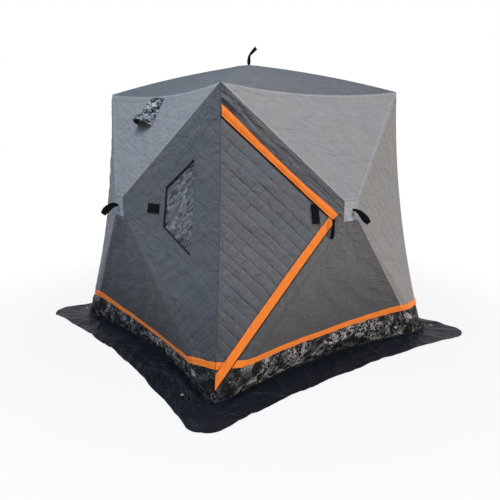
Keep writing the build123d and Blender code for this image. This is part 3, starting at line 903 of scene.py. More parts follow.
def piece(name, cloth, finish, body="hut", stands_for=(), quarters=0, sharp=50, look=None):
    """A finished piece from a mesh in the front wall's place, in the finish it is given or in a look of its
    own.
    """
    turn_to_wall(cloth, quarters)
    mesh = bpy.data.meshes.new(name)
    cloth.to_mesh(mesh)
    cloth.free()
    for face in mesh.polygons:
        face.use_smooth = True
    mesh.set_sharp_from_angle(angle=math.radians(sharp))
    mesh.materials.append(finishes[look or finish])
    shape = bpy.data.objects.new(name, mesh)
    bpy.context.scene.collection.objects.link(shape)
    if body:
        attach(shape, body)
    if stands_for:
        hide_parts(*stands_for)
    made.append((name, len(mesh.loop_triangles) or sum(len(face.vertices) - 2 for face in mesh.polygons)))
    return shape


print("pieces can be made")

# %% [markdown]
# ## The roof
#
# Four quilted panels run from a square patch in the middle down to the eaves. The roof poles push the
# hips up a little between the patch and the corners.

# %% Roof panels and patch
roof_patch_corners = [Vector((x * roof_patch_half, -roof_patch_half, peak_height)) for x in (-1, 1)]
_, roof_flat = fan(roof_patch_corners, roof_patch_half, -roof_patch_half, eave, eave_half, -eave_half)


def roof_place(across, in_plan):
    """Where a place in plan goes. The poles under the hips bow the roof up."""
    out = (in_plan + roof_patch_half) / (roof_patch_half - eave_half)
    return roof_flat(across, in_plan) + Vector((0, 0, 4 * hip_bow * out * (1 - out)))


roof_panel = Panel(trapezium(eave_half, -eave_half, roof_patch_half, -roof_patch_half), None, roof_place)
roof_anchors = ([(x * eave_half, -eave_half, 0.006, 0.25, 9) for x in (-1, 1)]
                + [(x * roof_patch_half, -roof_patch_half, 0.004, 0.15, 7) for x in (-1, 1)])
quilted_thickness = 0.005
for wall, quarters in walls.items():
    cloth = lay_cloth(roof_panel, wall, lambda across, up, seam: 0.55 * ease((seam - 0.012) / 0.02))
    raise_relief(cloth, 3 + quarters * 11, roof_anchors, softness=0.5)
    area = surface(cloth)
    thicken(cloth, quilted_thickness)
    node = f"roof_{wall}_panel"
    roof = piece(f"roof_cloth_{wall}", cloth, "roof_fabric", stands_for=[node], quarters=quarters)
    print(roof.name, "flat area", round(area, 3))

patch = even_grid(square(roof_patch_half), 0.005)
cloth_layer, seam_layer = cloth_layers(patch)
for vert in patch.verts:
    across, up = vert.co.xy
    edge = roof_patch_half - max(abs(across), abs(up))
    vert[cloth_layer], vert[seam_layer] = (across, up, 0), edge
    vert.co.z = peak_height + 0.0012 * ease(edge / 0.012)
thicken(patch, quilted_thickness)
roof_patch = piece("roof_patch", patch, "roof_fabric", stands_for=["roof_hub_patch"])
print("roof", made[-5:])

# %% [markdown]
# ## The wall panels
#
# The panels above the hubs and two of each wall's side panels are pale, and the ones at the two corners
# with windows are dark. The panels below the hubs are plain cloth with no quilting, because the
# snow that is banked against them there insulates enough. Quilting stops short of the lower pole seams.

# %% Lines of the door and outlines of the openings
half_gap = 0.0025
door_tip = (-0.128, 1.018)
zip_start, zip_end = (-0.785, 1.671), (-0.983, 0.074)
upper_zip = (zip_start, door_tip)
lower_zip = (door_tip, zip_end)
window_outline = [(0.423, 0.987), (0.645, 0.839), (0.617, 1.402), (0.423, 1.227)]
vent_outline = [(-0.0915, 1.640), (-0.0075, 1.640), (0.0282, 1.735), (-0.0558, 1.735)]
band_join = band_top - band_width / 2


def near_pole_seam(across, up):
    """How far a flat place on a side panel is from its lower pole seam."""
    start, end = Vector((foot_half, ground)), Vector((patch_half, patch_bottom))
    along = (end - start).normalized()
    return (Vector((abs(across), up)) - start).cross(along)


def side_quilting(strength, bare, slack=0.0):
    """Quilting that stops short of the pole seam, and is pulled flatter higher up, where cloth is tight."""
    def quilting(across, up, seam):
        shown = strength * (1 - slack * ease((up - 0.35) / 0.5))
        return shown * ease((near_pole_seam(across, up) - bare) / 0.015) * ease((seam - 0.006) / 0.01)
    return quilting


def above_the_band(panel):
    """A panel's outline from the middle of the orange band upwards."""
    left, right = panel.sides(band_join)
    kept = [corner for corner in panel.corners if corner[1] > band_join]
    return [(left, band_join), (right, band_join)] + kept


print("distance from the pole seam at the foot corner", round(near_pole_seam(-base_half, ground), 3))

# %% Plain, quilted and pierced panels
corner_cloth = {"front": ("dark_fabric", "pale_fabric"), "right": ("pale_fabric", "dark_fabric"),
                "back": ("dark_fabric", "pale_fabric"), "left": ("pale_fabric", "dark_fabric")}
side_anchors = [(-eave_half, eave_height, 0.010, 0.30, 14), (-patch_half, patch_bottom, 0.006, 0.08, 11),
                (-patch_half, patch_top, 0.006, 0.08, 11), (-foot_half, 0.15, 0.010, 0.35, 10)]
mirror_anchors = [(-across, up, *rest) for across, up, *rest in side_anchors]


def panel_piece(name, wall, panel, finish, node, quilting, anchors, seed, openings=()):
    """One panel of a wall, from flat cloth to a finished sheet."""
    cloth = lay_cloth(panel, wall, quilting, above_the_band(panel) if panel.span else panel.corners)
    for outline in openings:
        cut_hole(cloth, outline)
    area = surface(cloth)
    raise_relief(cloth, seed, anchors, lap=0.0016 if finish == "pale_fabric" else 0.0)
    places = [[vert.co[i] for vert in cloth.verts] for i in (0, 2)]
    spans = [max(values) - min(values) for values in places]
    thicken(cloth, quilted_thickness)
    shape = piece(name, cloth, finish, "hut", [node], walls[wall])
    flat = (spans[0], max(spans[1], 1.05 * area / spans[0]))
    return shape


for wall, quarters in walls.items():
    seed = 40 + 17 * quarters
    has_window = wall in ("left", "right")
    left_finish, right_finish = corner_cloth[wall]
    panel_piece(f"{wall}_top_cloth", wall, top_panel, "pale_fabric", f"{wall}_top_panel",
                lambda across, up, seam: 0.35 * ease((seam - 0.014) / 0.012), hub_anchors + eave_anchors,
                seed, [vent_outline] if has_window else [])
    panel_piece(f"{wall}_lower_cloth", wall, lower_panel, "lower_fabric", f"{wall}_lower_panel",
                no_quilting, hub_anchors + foot_anchors, seed + 3)
    quilts = {"dark_fabric": side_quilting(1.0, 0.045, 0.72), "pale_fabric": side_quilting(0.9, 0.014)}
    panel_piece(f"{wall}_right_cloth", wall, right_panel, right_finish, f"{wall}_right_panel",
                quilts[right_finish], mirror_anchors, seed + 5,
                [window_outline] if has_window else [])
    if wall != "front":
        panel_piece(f"{wall}_left_cloth", wall, left_panel, left_finish, f"{wall}_left_panel",
                    quilts[left_finish], side_anchors, seed + 9)
print("triangles so far", sum(count for name, count in made))

# %% [markdown]
# ## The door wall
#
# The left side panel of the front wall is cut by two zips that meet in a tip beside the hub. What is left
# of it above the upper zip and below the lower zip stays on the wall. These strips have no quilting,
# only the fine puckers that a long zip pulls into cloth.

# %% The cloth that stays round the door
def along_line(start, end):
    """A line in elevation: where it starts, the direction to its left and the direction along it."""
    point, left = line_side(start, end)
    return point, left, (Vector((end[0], 0, end[1])) - point).normalized()


def zip_puckers(cloth, line, height, reach, waves):
    """Small puckers square to a zip, that die away from it."""
    point, left, along = along_line(*line)

    def move_of(vert):
        away, down = abs((vert.co - point).dot(left)), (vert.co - point).dot(along)
        wave = noise.noise(Vector((down * waves, away * 6, 5.0)))
        return vert.normal * (height * wave * math.exp(-away / reach) * ease(away / 0.006))

    shift(cloth, move_of)


def folds_along(cloth, line, height, waves, near, far):
    """Long creases that run beside a zip, between two distances from it."""
    point, left, along = along_line(*line)
    seam_layer = cloth.verts.layers.float["seam"]

    def move_of(vert):
        away, down = (vert.co - point).dot(left), (vert.co - point).dot(along)
        wave = 0.35 - abs(noise.noise(Vector((down * 2.2, away * waves, 8.5))))
        share = ease((away - near) / 0.02) * ease((far - away) / 0.02) * ease(vert[seam_layer] / 0.015)
        return vert.normal * (height * wave * share * (0.7 + 0.9 * ease(1 - down / 0.5)))

    shift(cloth, move_of)


door_seed = 71
low_tip = Vector((0, 0, door_tip[1]))
up = Vector((0, 0, 1))
cloth = lay_cloth(left_panel, "front", grid=even_grid(left_panel.corners, 0.008, 45))
cut_left(cloth, *upper_zip, half_gap)
keep_side(cloth, low_tip, up)
area = surface(cloth)
raise_relief(cloth, door_seed, side_anchors, softness=1.4)
zip_puckers(cloth, upper_zip, 0.003, 0.06, 26)
folds_along(cloth, upper_zip, 0.026, 30, 0.035, 0.20)
thicken(cloth, quilted_thickness)
surround = piece("door_surround_cloth_upper", cloth, "dark_fabric", stands_for=["door_surround_upper"],
                 look="gathered_fabric")
print("upper surround", round(area, 3))

cloth = lay_cloth(left_panel, "front", corners=above_the_band(left_panel))
cut_left(cloth, *lower_zip, half_gap)
keep_side(cloth, low_tip, -up)
area = surface(cloth)
raise_relief(cloth, door_seed, side_anchors)
zip_puckers(cloth, lower_zip, 0.003, 0.06, 34)
thicken(cloth, quilted_thickness)
surround = piece("door_surround_cloth_lower", cloth, "dark_fabric", stands_for=["door_surround_lower"])
print("lower surround", round(area, 3))

# %% [markdown]
# ## The printed band and the orange trim
#
# Along the foot of every wall runs a band of printed cloth, a little slack, so that it bulges between its
# seams. The orange trim covers the seam above it. Both are made as a grid with one row of faces after
# another round the wall. Neighbouring panels use the same rows, so the strips join without a gap.

# %% Strips round the foot of a wall
sewn_together = 0.0005         # points of neighbouring strips that are nearer than this become one


def foot_strip(wall, low, high, rows, panels, column_width=0.012):
    """A strip of cloth between two heights of the flat panels, across some panels of a wall."""
    parts, travelled = [], 0.0
    ends = [panel.sides((low + high) / 2) for panel in panels]
    whole = sum(right - left for left, right in ends)
    for panel, (left, right) in zip(panels, ends):
        part = bmesh.new()
        columns = max(4, round((right - left) / column_width))
        bmesh.ops.create_grid(part, x_segments=columns, y_segments=rows, size=0.5)
        cloth_layer, seam_layer = cloth_layers(part)
        for vert in part.verts:
            share, risen = vert.co.x + 0.5, vert.co.y + 0.5
            flat_up = low + (high - low) * risen
            start, end = panel.sides(flat_up)
            vert[cloth_layer] = (travelled + (right - left) * share, flat_up, 0)
            from_end = min(vert[cloth_layer].x, whole - vert[cloth_layer].x)
            vert[seam_layer] = min(min(risen, 1 - risen) * (high - low), from_end)
            vert.co = panel.place(*lifted(panel, wall, start + (end - start) * share, flat_up))
        travelled += right - left
        parts.append((part, 0))
    return joined(parts, sewn_together)


def clear_of_door(strip):
    """Cut the door's share off a strip round the front wall."""
    far_side = [face for face in strip.faces if face.calc_center_median().x < -0.6]
    point, left = line_side(*lower_zip)
    keep_side(strip, point + left * half_gap, left, far_side)


def push_out(cloth, height_at, calm=None):
    """Push out by a height worked out from the cloth place and the seam distance. Beside a zip, calm gives
    less of it, from one distance over the next, so that what is sewn along the zip lies on top."""
    cloth_layer, seam_layer = cloth_layers(cloth)
    point, left = line_side(*lower_zip)
    near, far = calm or (-1.0, 1.0)
    shift(cloth, lambda vert: vert.normal * (height_at(vert[cloth_layer], vert[seam_layer])
                                             * ease((abs((vert.co - point).dot(left)) - near) / far)))


def band_puff(seed):
    """Slack cloth that bulges between its seams, with short folds across it."""
    def height(place, seam):
        bulge = 0.012 * ease(seam / 0.09)
        folds = (0.35 - abs(slanted(place.x, place.y, seed, 68, 5.0, 13.0))) * 0.018
        small = noise.noise(Vector((place.x * 28, place.y * 28, seed + 5))) * 0.004
        return bulge + (folds + small) * ease(seam / 0.035)
    return height


side_to_side = (left_panel, lower_panel, right_panel)
band_cloth_thickness = 0.003
for wall, quarters in walls.items():
    cloth = foot_strip(wall, ground, band_join, 18, side_to_side)
    if wall == "front":
        clear_of_door(cloth)
    area = surface(cloth)
    push_out(cloth, band_puff(101 + 7 * quarters), (0.004, 0.05) if wall == "front" else None)
    thicken(cloth, band_cloth_thickness)
    band = piece(f"{wall}_printed_band", cloth, "camo_fabric", stands_for=[f"{wall}_base_band"],
                 quarters=quarters)
    print(band.name, "flat area", round(area, 3))

trim_low, trim_high = band_top - band_width, band_top
trim_offset, tape_thickness = 0.0045, 0.002


def trim_ripple(seed):
    def height(place, seam):
        wave = noise.noise(Vector((place.x * 9, place.y * 5, seed)))
        fine = noise.noise(Vector((place.x * 34, place.y * 20, seed + 3)))
        return trim_offset + 0.0022 * wave + 0.0009 * fine + 0.0012 * ease(seam / 0.008)
    return height


trim_parts, trim_run = [], 0.0
for wall, quarters in walls.items():
    cloth = foot_strip(wall, trim_low, trim_high, 8, side_to_side, 0.010)
    if wall == "front":
        clear_of_door(cloth)
    trim_run += surface(cloth) / band_width
    trim_parts.append((cloth, quarters))
trim = joined(trim_parts, sewn_together)
push_out(trim, trim_ripple(9))
thicken(trim, tape_thickness)
trim_piece = piece("orange_trim", trim, "orange_fabric", stands_for=["trim_band"])
print("orange trim", round(trim_run, 2), "m long")

# %% [markdown]
# ## The hub patches
#
# A square of tough coated cloth is sewn over each hub, where the pull strap comes through. The
# strap drags it into a slight cone with short creases.

# %% Patches over the wall hubs
parts = []
for quarters in walls.values():
    part = even_grid(square(patch_half), 0.006)
    cloth_layer, seam_layer = cloth_layers(part)
    for vert in part.verts:
        across, up_from_hub = vert.co.xy
        edge = patch_half - max(abs(across), abs(up_from_hub))
        pulled = 0.007 * math.exp(-math.hypot(across, up_from_hub) / 0.022)
        crease = noise.noise(Vector((across * 26, up_from_hub * 16, quarters + 0.5))) * 0.008
        vert[cloth_layer], vert[seam_layer] = (across, up_from_hub, 0), edge
        out = hub_reach + 0.0012 + (pulled + crease) * ease(edge / 0.03)
        vert.co = (across, -out, hub_height + up_from_hub)
    parts.append((part, quarters))
patches = joined(parts)
thicken(patches, 0.004)
patch_piece = piece("hub_patches", patches, "patch_fabric", stands_for=["wall_hub_patches"])
print("hub patches", made[-1])

# %% [markdown]
# ## The door
#
# The door is one triangle of quilted cloth. It has no hinge of its own: it is sewn along the corner seam,
# and rolls back about it. So the cloth follows the wall near the seam and the door further in, and bends
# smoothly between the two. Everything sewn on it bends in the same way.

# %% Cloth of the door
hinge = [joint for joint in frame["joints"] if joint["name"] == "door_hinge"][0]
hinge_axis = Vector(hinge["axis"]).normalized()
hinge_place = Vector(hinge["pos_m"])
tip_place = Vector((door_tip[0], -hub_reach, door_tip[1]))
into_door = tip_place - hinge_place
into_door = (into_door - hinge_axis * into_door.dot(hinge_axis)).normalized()
bend_start = hinge_place + into_door * 0.068
bend_end = hinge_place + into_door * 0.225


def on_door(shape):
    """The piece stays with the wall at the corner seam, and goes with the door further in."""
    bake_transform(shape, "hut", "door", start=bend_start, end=bend_end)


door_anchors = side_anchors[:1] + [(*door_tip, 0.007, 0.16, 11), (-0.96, 0.10, 0.010, 0.35, 11)]
door_sides = [line_side(door_tip, zip_start), line_side(zip_end, door_tip)]
bare_by_zip, quilting_starts = 0.016, 0.012
cloth = lay_cloth(left_panel, "front", lambda across, up, seam: ease((seam - 0.006) / 0.01),
                  above_the_band(left_panel))
for start, end in ((door_tip, zip_start), (zip_end, door_tip)):
    cut_left(cloth, start, end, half_gap)
cloth_layer, seam_layer = cloth_layers(cloth)
for vert in cloth.verts:
    across, flat_up, quilting = vert[cloth_layer]
    shown = ease((depth_in(door_sides, vert.co) - bare_by_zip) / quilting_starts)
    vert[cloth_layer] = (across, flat_up, quilting * shown)
area = surface(cloth)
raise_relief(cloth, door_seed, door_anchors, depth=0.0042, softness=0.7)
thicken(cloth, quilted_thickness)
door_cloth = piece("door_cloth", cloth, "dark_fabric", None, ["door_flap"])
on_door(door_cloth)
print("door cloth", round(area, 3))

cloth = foot_strip("front", ground, band_join, 18, [left_panel])
point, left = door_sides[1]
keep_side(cloth, point + left * half_gap, left)
area = surface(cloth)
push_out(cloth, band_puff(101), (0.054, 0.03))
thicken(cloth, band_cloth_thickness)
door_band = piece("door_printed_band", cloth, "camo_fabric", None)
on_door(door_band)
print("door band", round(area, 4))

# %% [markdown]
# ## Zips, storm flaps and the door's trim
#
# The black zip runs along both lines of the door. An orange storm flap is sewn on the wall above the upper
# zip, and another on the door inside the lower one. A strip is cut from the same panel as the cloth
# below it and lifted a little, so that it follows every fold.

# %% Strips along the zips
def zip_strip(name, line, low, high, finish, lift, body, stands_for, stop, step=0.008, crown=0.0,
              ripple=0.0015, anchors=side_anchors, softness=0.9, waist=0.0):
    """A strip along a zip, from one distance above it to another, cut at the stop lines."""
    start, end = Vector(line[0]), Vector(line[1])
    along = (end - start).normalized()
    side = Vector((-along.y, along.x))
    start, end = start - along * 0.10, end + along * 0.03
    wide = [start + side * (low - 0.05), end + side * (low - 0.05), end + side * (high + 0.05),
            start + side * (high + 0.05)]
    turn = math.degrees(math.atan2(along.y, along.x))
    grid = even_grid([tuple(corner) for corner in wide], step, turn)
    cut_flat(grid, left_panel.corners)
    cloth = lay_cloth(left_panel, "front", grid=grid)
    cloth_layer, seam_layer = cloth_layers(cloth)
    point, left = line_side(*line)
    for vert in cloth.verts:
        from_zip = (vert.co - point).dot(left)
        vert[seam_layer] = min(vert[seam_layer], max(0.0, abs(from_zip) - half_gap))
    cuts = ((point + left * low, left), (point + left * high, -left), *stop)
    for cut_point, cut_side in cuts:
        keep_side(cloth, cut_point, cut_side)
    area = surface(cloth)

    def move_of(vert):
        (across, up, _), seam = vert[cloth_layer], vert[seam_layer]
        fold = fold_height(across, up, seam, door_seed, anchors, softness)
        from_zip, down = (vert.co - point).dot(left), (vert.co - point).dot(Vector((along.x, 0, along.y)))
        edge = min(from_zip - low, high - from_zip)
        wave = noise.noise(Vector((down * 26, from_zip * 12, door_seed + 2.5))) * ripple
        drawn_in = waist * (from_zip - low) * ease(down / 0.35) * ease((0.86 - down) / 0.3)
        vert[cloth_layer], vert[seam_layer] = (down, from_zip, 0), edge
        raised = fold + lift + wave + crown * ease(edge / ((high - low) / 2))
        return vert.normal * raised - left * drawn_in

    shift(cloth, move_of)
    thicken(cloth, tape_thickness)
    shape = piece(name, cloth, finish, body, stands_for)
    if not body:
        on_door(shape)
    return shape


mitre = Vector((1, -1, 0)).normalized()
tip_point = Vector((door_tip[0], 0, door_tip[1]))
under_upper_zip = line_side(door_tip, zip_start)[1]
along_upper_zip = along_line(*upper_zip)[2]
at_corner = (mitre * 0.0002, mitre)
at_tip = (tip_point, -along_upper_zip)
below_tape = (tip_point + under_upper_zip * 0.0118, under_upper_zip)

zip_strip("storm_flap_upper", upper_zip, -0.004, 0.0445, "orange_fabric", 0.0095, "hut",
          ["upper_storm_flap"],
          [(mitre * 0.004, mitre), (tip_point - along_upper_zip * 0.020, -along_upper_zip)],
          crown=0.004, ripple=0.005, softness=1.4, waist=0.22)
zip_strip("storm_flap_lower", lower_zip, -0.0515, -0.0035, "orange_fabric", 0.0085, None,
          ["door_lower_flap"], [below_tape], crown=0.002, ripple=0.002, anchors=door_anchors, softness=0.7)
zip_strip("zip_upper", upper_zip, -0.0105, 0.0045, "black_webbing", 0.0048, None, ["door_zip_tape"],
          [at_corner, at_tip], 0.0035, 0.0010, 0.0004, door_anchors, softness=0.7)
zip_strip("zip_lower", lower_zip, -0.0115, 0.0030, "black_webbing", 0.0040, None, ["door_zip_tape"],
          [below_tape], 0.0035, 0.003, 0.0004, door_anchors, softness=0.7)
zip_strip("zip_guard_upper", upper_zip, -0.012, 0.016, "black_webbing", -0.0065, "hut", (), [at_tip], 0.006,
          anchors=door_anchors)
zip_strip("zip_guard_lower", lower_zip, -0.012, 0.016, "black_webbing", -0.0065, "hut", (),
          [(tip_point, under_upper_zip)], 0.006)
print("strips", made[-6:])

cloth = foot_strip("front", trim_low, trim_high, 8, [left_panel], 0.010)
point, left = door_sides[1]
keep_side(cloth, point + left * 0.0515, left)
area = surface(cloth)
push_out(cloth, trim_ripple(9))
thicken(cloth, tape_thickness)
door_trim = piece("door_orange_trim", cloth, "orange_fabric", None, ["door_trim_band"])
on_door(door_trim)
print("door trim", round(area / band_width, 3), "m long")

# %% [markdown]
# ## Small pieces sewn on the walls
#
# A window, its binding, a tie tab for the rolled-up door and a tab on the door are all small shapes that
# lie on a panel. Each is cut from a fine grid laid on that panel, so it takes the panel's slope and folds.

# %% Small shapes on a panel
def small_shape(panel, wall, outline, grow, step, turn=0):
    """Cloth laid on a panel and cut to an anticlockwise outline in elevation, grown all round."""
    middle = sum((Vector(corner) for corner in outline), Vector((0, 0))) / len(outline)
    wide = [tuple(middle + (Vector(corner) - middle) * (1 + 0.10 / (Vector(corner) - middle).length))
            for corner in outline]
    grid = even_grid(wide, step, turn)
    cut_flat(grid, panel.corners)
    cloth = lay_cloth(panel, wall, grid=grid)
    for start, end in edges_of(outline):
        point, left = line_side(start, end)
        keep_side(cloth, point - left * grow, left)
    return cloth


def edge_distance(outline, place):
    """How far inside an outline in elevation a place is."""
    return depth_in([line_side(start, end) for start, end in edges_of(outline)], place)


print("small shapes ready")

# %% [markdown]
# ## Windows and vent screens
#
# The window is clear vinyl film sewn behind the wall. It has been folded so often that it is creased all
# over, and its silvery look is painted highlights and shade along the creases. A black binding covers its
# seam. The vent is open mesh.

# %% Window film, bindings and vent screens
seam_allowance, film_thickness = 0.012, 0.0008
panes, bindings, screens = [], [], []
for wall in ("right", "left"):
    quarters = walls[wall]
    seed = 40 + 17 * quarters + 5
    pane = small_shape(right_panel, wall, window_outline, seam_allowance, 0.008, 33)
    cloth_layer, seam_layer = cloth_layers(pane)

    def creased(vert):
        across, flat_up, _ = vert[cloth_layer]
        inside = edge_distance(window_outline, vert.co) + seam_allowance
        crease = (0.4 - abs(slanted(across, flat_up, seed, 50, 9, 19))) * 0.012
        crease += (0.3 - abs(slanted(across, flat_up, seed + 3, -35, 12, 26))) * 0.007
        return vert.normal * (-0.0065 + crease * ease(inside / 0.05))

    shift(pane, creased)
    pane_area = surface(pane)
    thicken(pane, film_thickness)
    panes.append((pane, quarters))

    binding = small_shape(right_panel, wall, window_outline, 0.0065, 0.008)
    cut_hole(binding, window_outline)
    keep_side(binding, *line_side(window_outline[1], window_outline[2]))
    binding_area = surface(binding)
    raise_relief(binding, seed, mirror_anchors, depth=0, offset=0.0035)
    thicken(binding, tape_thickness)
    bindings.append((binding, quarters))

    screen = small_shape(top_panel, wall, vent_outline, seam_allowance, 0.01)
    shift(screen, lambda vert: vert.normal * -0.006)
    screen_area = surface(screen)
    thicken(screen, film_thickness)
    screens.append((screen, quarters))

window = piece("window_film_panes", joined(panes), "window_film", stands_for=["window_panes"])
edge = piece("window_binding_strips", joined(bindings), "black_webbing", stands_for=["window_bindings"])
mesh_piece = piece("vent_mesh_screens", joined(screens), "vent_mesh", stands_for=["vent_screens"])
print("film", round(pane_area, 3), "binding", round(binding_area, 4), "screen", round(screen_area, 4))

# %% Tie tab on the window wall, tab and pull on the door
tab_thickness = 0.003


def box_corners(low_x, low_z, high_x, high_z):
    return [(low_x, low_z), (high_x, low_z), (high_x, high_z), (low_x, high_z)]


def puff(tab, outline, height, rim, unevenness):
    """Doubled webbing rises from its rim, and isn't quite even."""
    shift(tab, lambda vert: vert.normal * (height * ease(edge_distance(outline, vert.co) / rim)
                                           + unevenness * noise.noise(vert.co * 40)))


tab_outline = box_corners(0.284, 1.063, 0.378, 1.121)
tie_tab = small_shape(right_panel, "left", tab_outline, 0.0, 0.004)
raise_relief(tie_tab, 40 + 17 * 3 + 5, mirror_anchors, depth=0, offset=0.0055)
puff(tie_tab, tab_outline, 0.004, 0.012, 0.002)
tab_area = surface(tie_tab)
thicken(tie_tab, tab_thickness)
tie_tab_piece = piece("tie_tab", tie_tab, "black_webbing", stands_for=["door_tie_tab"],
                      quarters=walls["left"])

tab_outline = box_corners(-0.281, 1.012, -0.234, 1.133)
tab = small_shape(left_panel, "front", tab_outline, 0.0, 0.004)
point, left = line_side(door_tip, zip_start)
keep_side(tab, point + left * 0.0115, left)
raise_relief(tab, door_seed, door_anchors, depth=0, offset=0.0075, softness=0.7)
puff(tab, tab_outline, 0.003, 0.010, 0.0015)
tab_area = surface(tab)
thicken(tab, tab_thickness)
door_tab = piece("door_tab_cloth", tab, "black_webbing", "door", ["door_tab"])
print("tabs", made[-2:])

# %% [markdown]
# ## Vent hoods
#
# A hood keeps snow out of each vent. It is half a tube of the printed cloth, sewn to the wall along its
# sides and its top, and open at its lower end, where a stiff rim holds it out. The cloth is crumpled all
# over from being packed. A fine grid is bent over into the half tube and pushed in and out.

# %% Crumpled half tubes
hood_mouth, hood_crown = (-0.066, 1.607), (-0.020, 1.786)
mouth_half, crown_half = 0.100, 0.062
mouth_stand_off, crown_stand_off = 0.092, 0.040


def at_height(across, height):
    """The place on the top panel at a true height."""
    up = height
    for _ in range(8):
        up += height - top_place(across, up).z
    return top_place(across, up)


hoods = []
for quarters in (1, 3):
    hood = bmesh.new()
    bmesh.ops.create_grid(hood, x_segments=72, y_segments=64, size=0.5)
    cloth_layer, seam_layer = cloth_layers(hood)
    for vert in hood.verts:
        angle, risen = math.pi * (0.5 - vert.co.x), vert.co.y + 0.5
        half = mouth_half + (crown_half - mouth_half) * risen
        stand_off = mouth_stand_off + (crown_stand_off - mouth_stand_off) * risen
        stand_off *= math.sqrt(max(0.0, 1 - max(0.0, (risen - 0.86) / 0.14) ** 2))
        across = hood_mouth[0] + (hood_crown[0] - hood_mouth[0]) * risen - half * math.cos(angle)
        height = hood_mouth[1] + (hood_crown[1] - hood_mouth[1]) * risen
        on_wall = at_height(across, height)
        out = (at_height(across + 0.01, height) - on_wall).cross(at_height(across, height + 0.01) - on_wall)
        vert.co = on_wall + out.normalized() * (0.002 + stand_off * math.sin(angle))
        vert[cloth_layer] = ((0.5 - angle / math.pi) * 2.4 * half, risen * 0.2, 0)
        vert[seam_layer] = 0.2 * min(risen, 1 - risen) + 0.004
    bmesh.ops.recalc_face_normals(hood, faces=hood.faces[:])
    hood_area = surface(hood)

    def crumpled(vert):
        place = Vector((*vert[cloth_layer].xy, quarters)) * 27
        crumple = 0.28 - abs(noise.noise(place)) + 0.45 * (0.28 - abs(noise.noise(place * 2.2)))
        return vert.normal * crumple * 0.020 * ease(vert[seam_layer] / 0.02)

    shift(hood, crumpled)
    thicken(hood, 0.0025)
    hoods.append((hood, quarters))
hood_piece = piece("vent_hood_cloth", joined(hoods), "camo_fabric", stands_for=["vent_hoods"],
                   look="hood_print_painted_sheen")
print("hood area", round(hood_area, 4))

# %% [markdown]
# ## Webbing: the pull on the zip and the straps on the hubs
#
# A strap is a flat grid bent along a path. The path is a line of a few points with a smooth curve
# through them, in metres, and each point carries the width of the strap there.

# %% Straps along a path
def along_path(points, share):
    """A place on a smooth path through points."""
    count = len(points) - 1
    index = min(int(share * count), count - 1)
    before, after = points[max(index - 1, 0)], points[min(index + 2, count)]
    return smooth(before, points[index], points[index + 1], after, share * count - index)


def strap(path, widths, across_way, thickness, cup=0.0, seed=0.0):
    """Flat webbing whose middle follows the path, and whose width lies along across_way."""
    web = bmesh.new()
    bmesh.ops.create_grid(web, x_segments=48, y_segments=6, size=0.5)
    cloth_layer, seam_layer = cloth_layers(web)
    run = sum((along_path(path, (i + 1) / 40) - along_path(path, i / 40)).length for i in range(40))
    for vert in web.verts:
        share, side = vert.co.x + 0.5, vert.co.y
        middle = along_path(path, share)
        ahead = along_path(path, min(share + 0.01, 1)) - along_path(path, max(share - 0.01, 0))
        ahead.normalize()
        across = (across_way - ahead * across_way.dot(ahead)).normalized()
        out = ahead.cross(across)
        width = along_path([Vector((value, 0, 0)) for value in widths], share).x
        wave = noise.noise(Vector((share * 6, side * 2, seed))) * 0.0015
        vert[cloth_layer], vert[seam_layer] = (share * run, side * width, 0), (0.5 - abs(side)) * width
        vert.co = middle + across * (side * width) + out * (cup * (1 - 4 * side * side) + wave)
    bmesh.ops.recalc_face_normals(web, faces=web.faces[:])
    thicken(web, thickness)
    return web, run


pull_path = [Vector(place) for place in ((-0.165, -1.0985, 1.040), (-0.166, -1.105, 1.010),
                                         (-0.167, -1.104, 0.975), (-0.166, -1.099, 0.940),
                                         (-0.165, -1.092, 0.912))]
pull, pull_run = strap(pull_path, (0.010, 0.014, 0.024, 0.025, 0.023), Vector((0.8, -0.5, 0)), 0.003)
pull_piece = piece("zip_pull_webbing", pull, "black_webbing", "door", ["zip_pull"])

# A strap on a hub: its path from there, its widths along it, and the way its width lies.
side_strap = ([(0.000, 0.006, 0.002), (0.002, -0.020, 0.008), (0.004, -0.050, 0.008),
               (0.002, -0.078, -0.006), (0.000, -0.100, -0.024), (-0.002, -0.118, -0.048)],
              (0.022, 0.022, 0.036, 0.044, 0.046, 0.034), Vector((-0.24, -0.27, 0.82)))
door_strap = ([(0.004, 0.006, 0.004), (0.016, -0.016, 0.006), (0.036, -0.034, -0.008),
               (0.058, -0.050, -0.034), (0.076, -0.062, -0.058), (0.090, -0.073, -0.080)],
              (0.020, 0.016, 0.030, 0.042, 0.044, 0.028), Vector((0.51, -0.385, 0.77)))
straps, strap_run = [], 0.0
for wall, quarters in walls.items():
    shape, widths, way = door_strap if wall in ("front", "back") else side_strap
    path = [Vector((x, -hub_reach + y, hub_height + z)) for x, y, z in shape]
    web, run = strap(path, widths, way, 0.005, cup=0.004, seed=quarters + 0.5)
    straps.append((web, quarters))
    strap_run += run
heading = math.radians(-37)
out_way = Vector((math.cos(heading), math.sin(heading), 0))
side_way = Vector((-math.sin(heading), math.cos(heading), 0))
rises = ((0, 0), (-0.001, 0.024), (0.000, 0.050), (0.005, 0.080), (0.028, 0.108), (0.054, 0.134))
roof_path = [Vector((0, 0, peak_height - 0.004)) + out_way * along + Vector((0, 0, rise))
             for along, rise in rises]
web, run = strap(roof_path, (0.008, 0.028, 0.028, 0.020, 0.026, 0.036), out_way * 0.8 + side_way * 0.6,
                 0.006, cup=0.003, seed=7.5)
straps.append((web, 0))
strap_piece = piece("pull_straps", joined(straps), "black_webbing", stands_for=["hub_pull_straps"])
print("straps", round(strap_run + run, 3), "m in all")

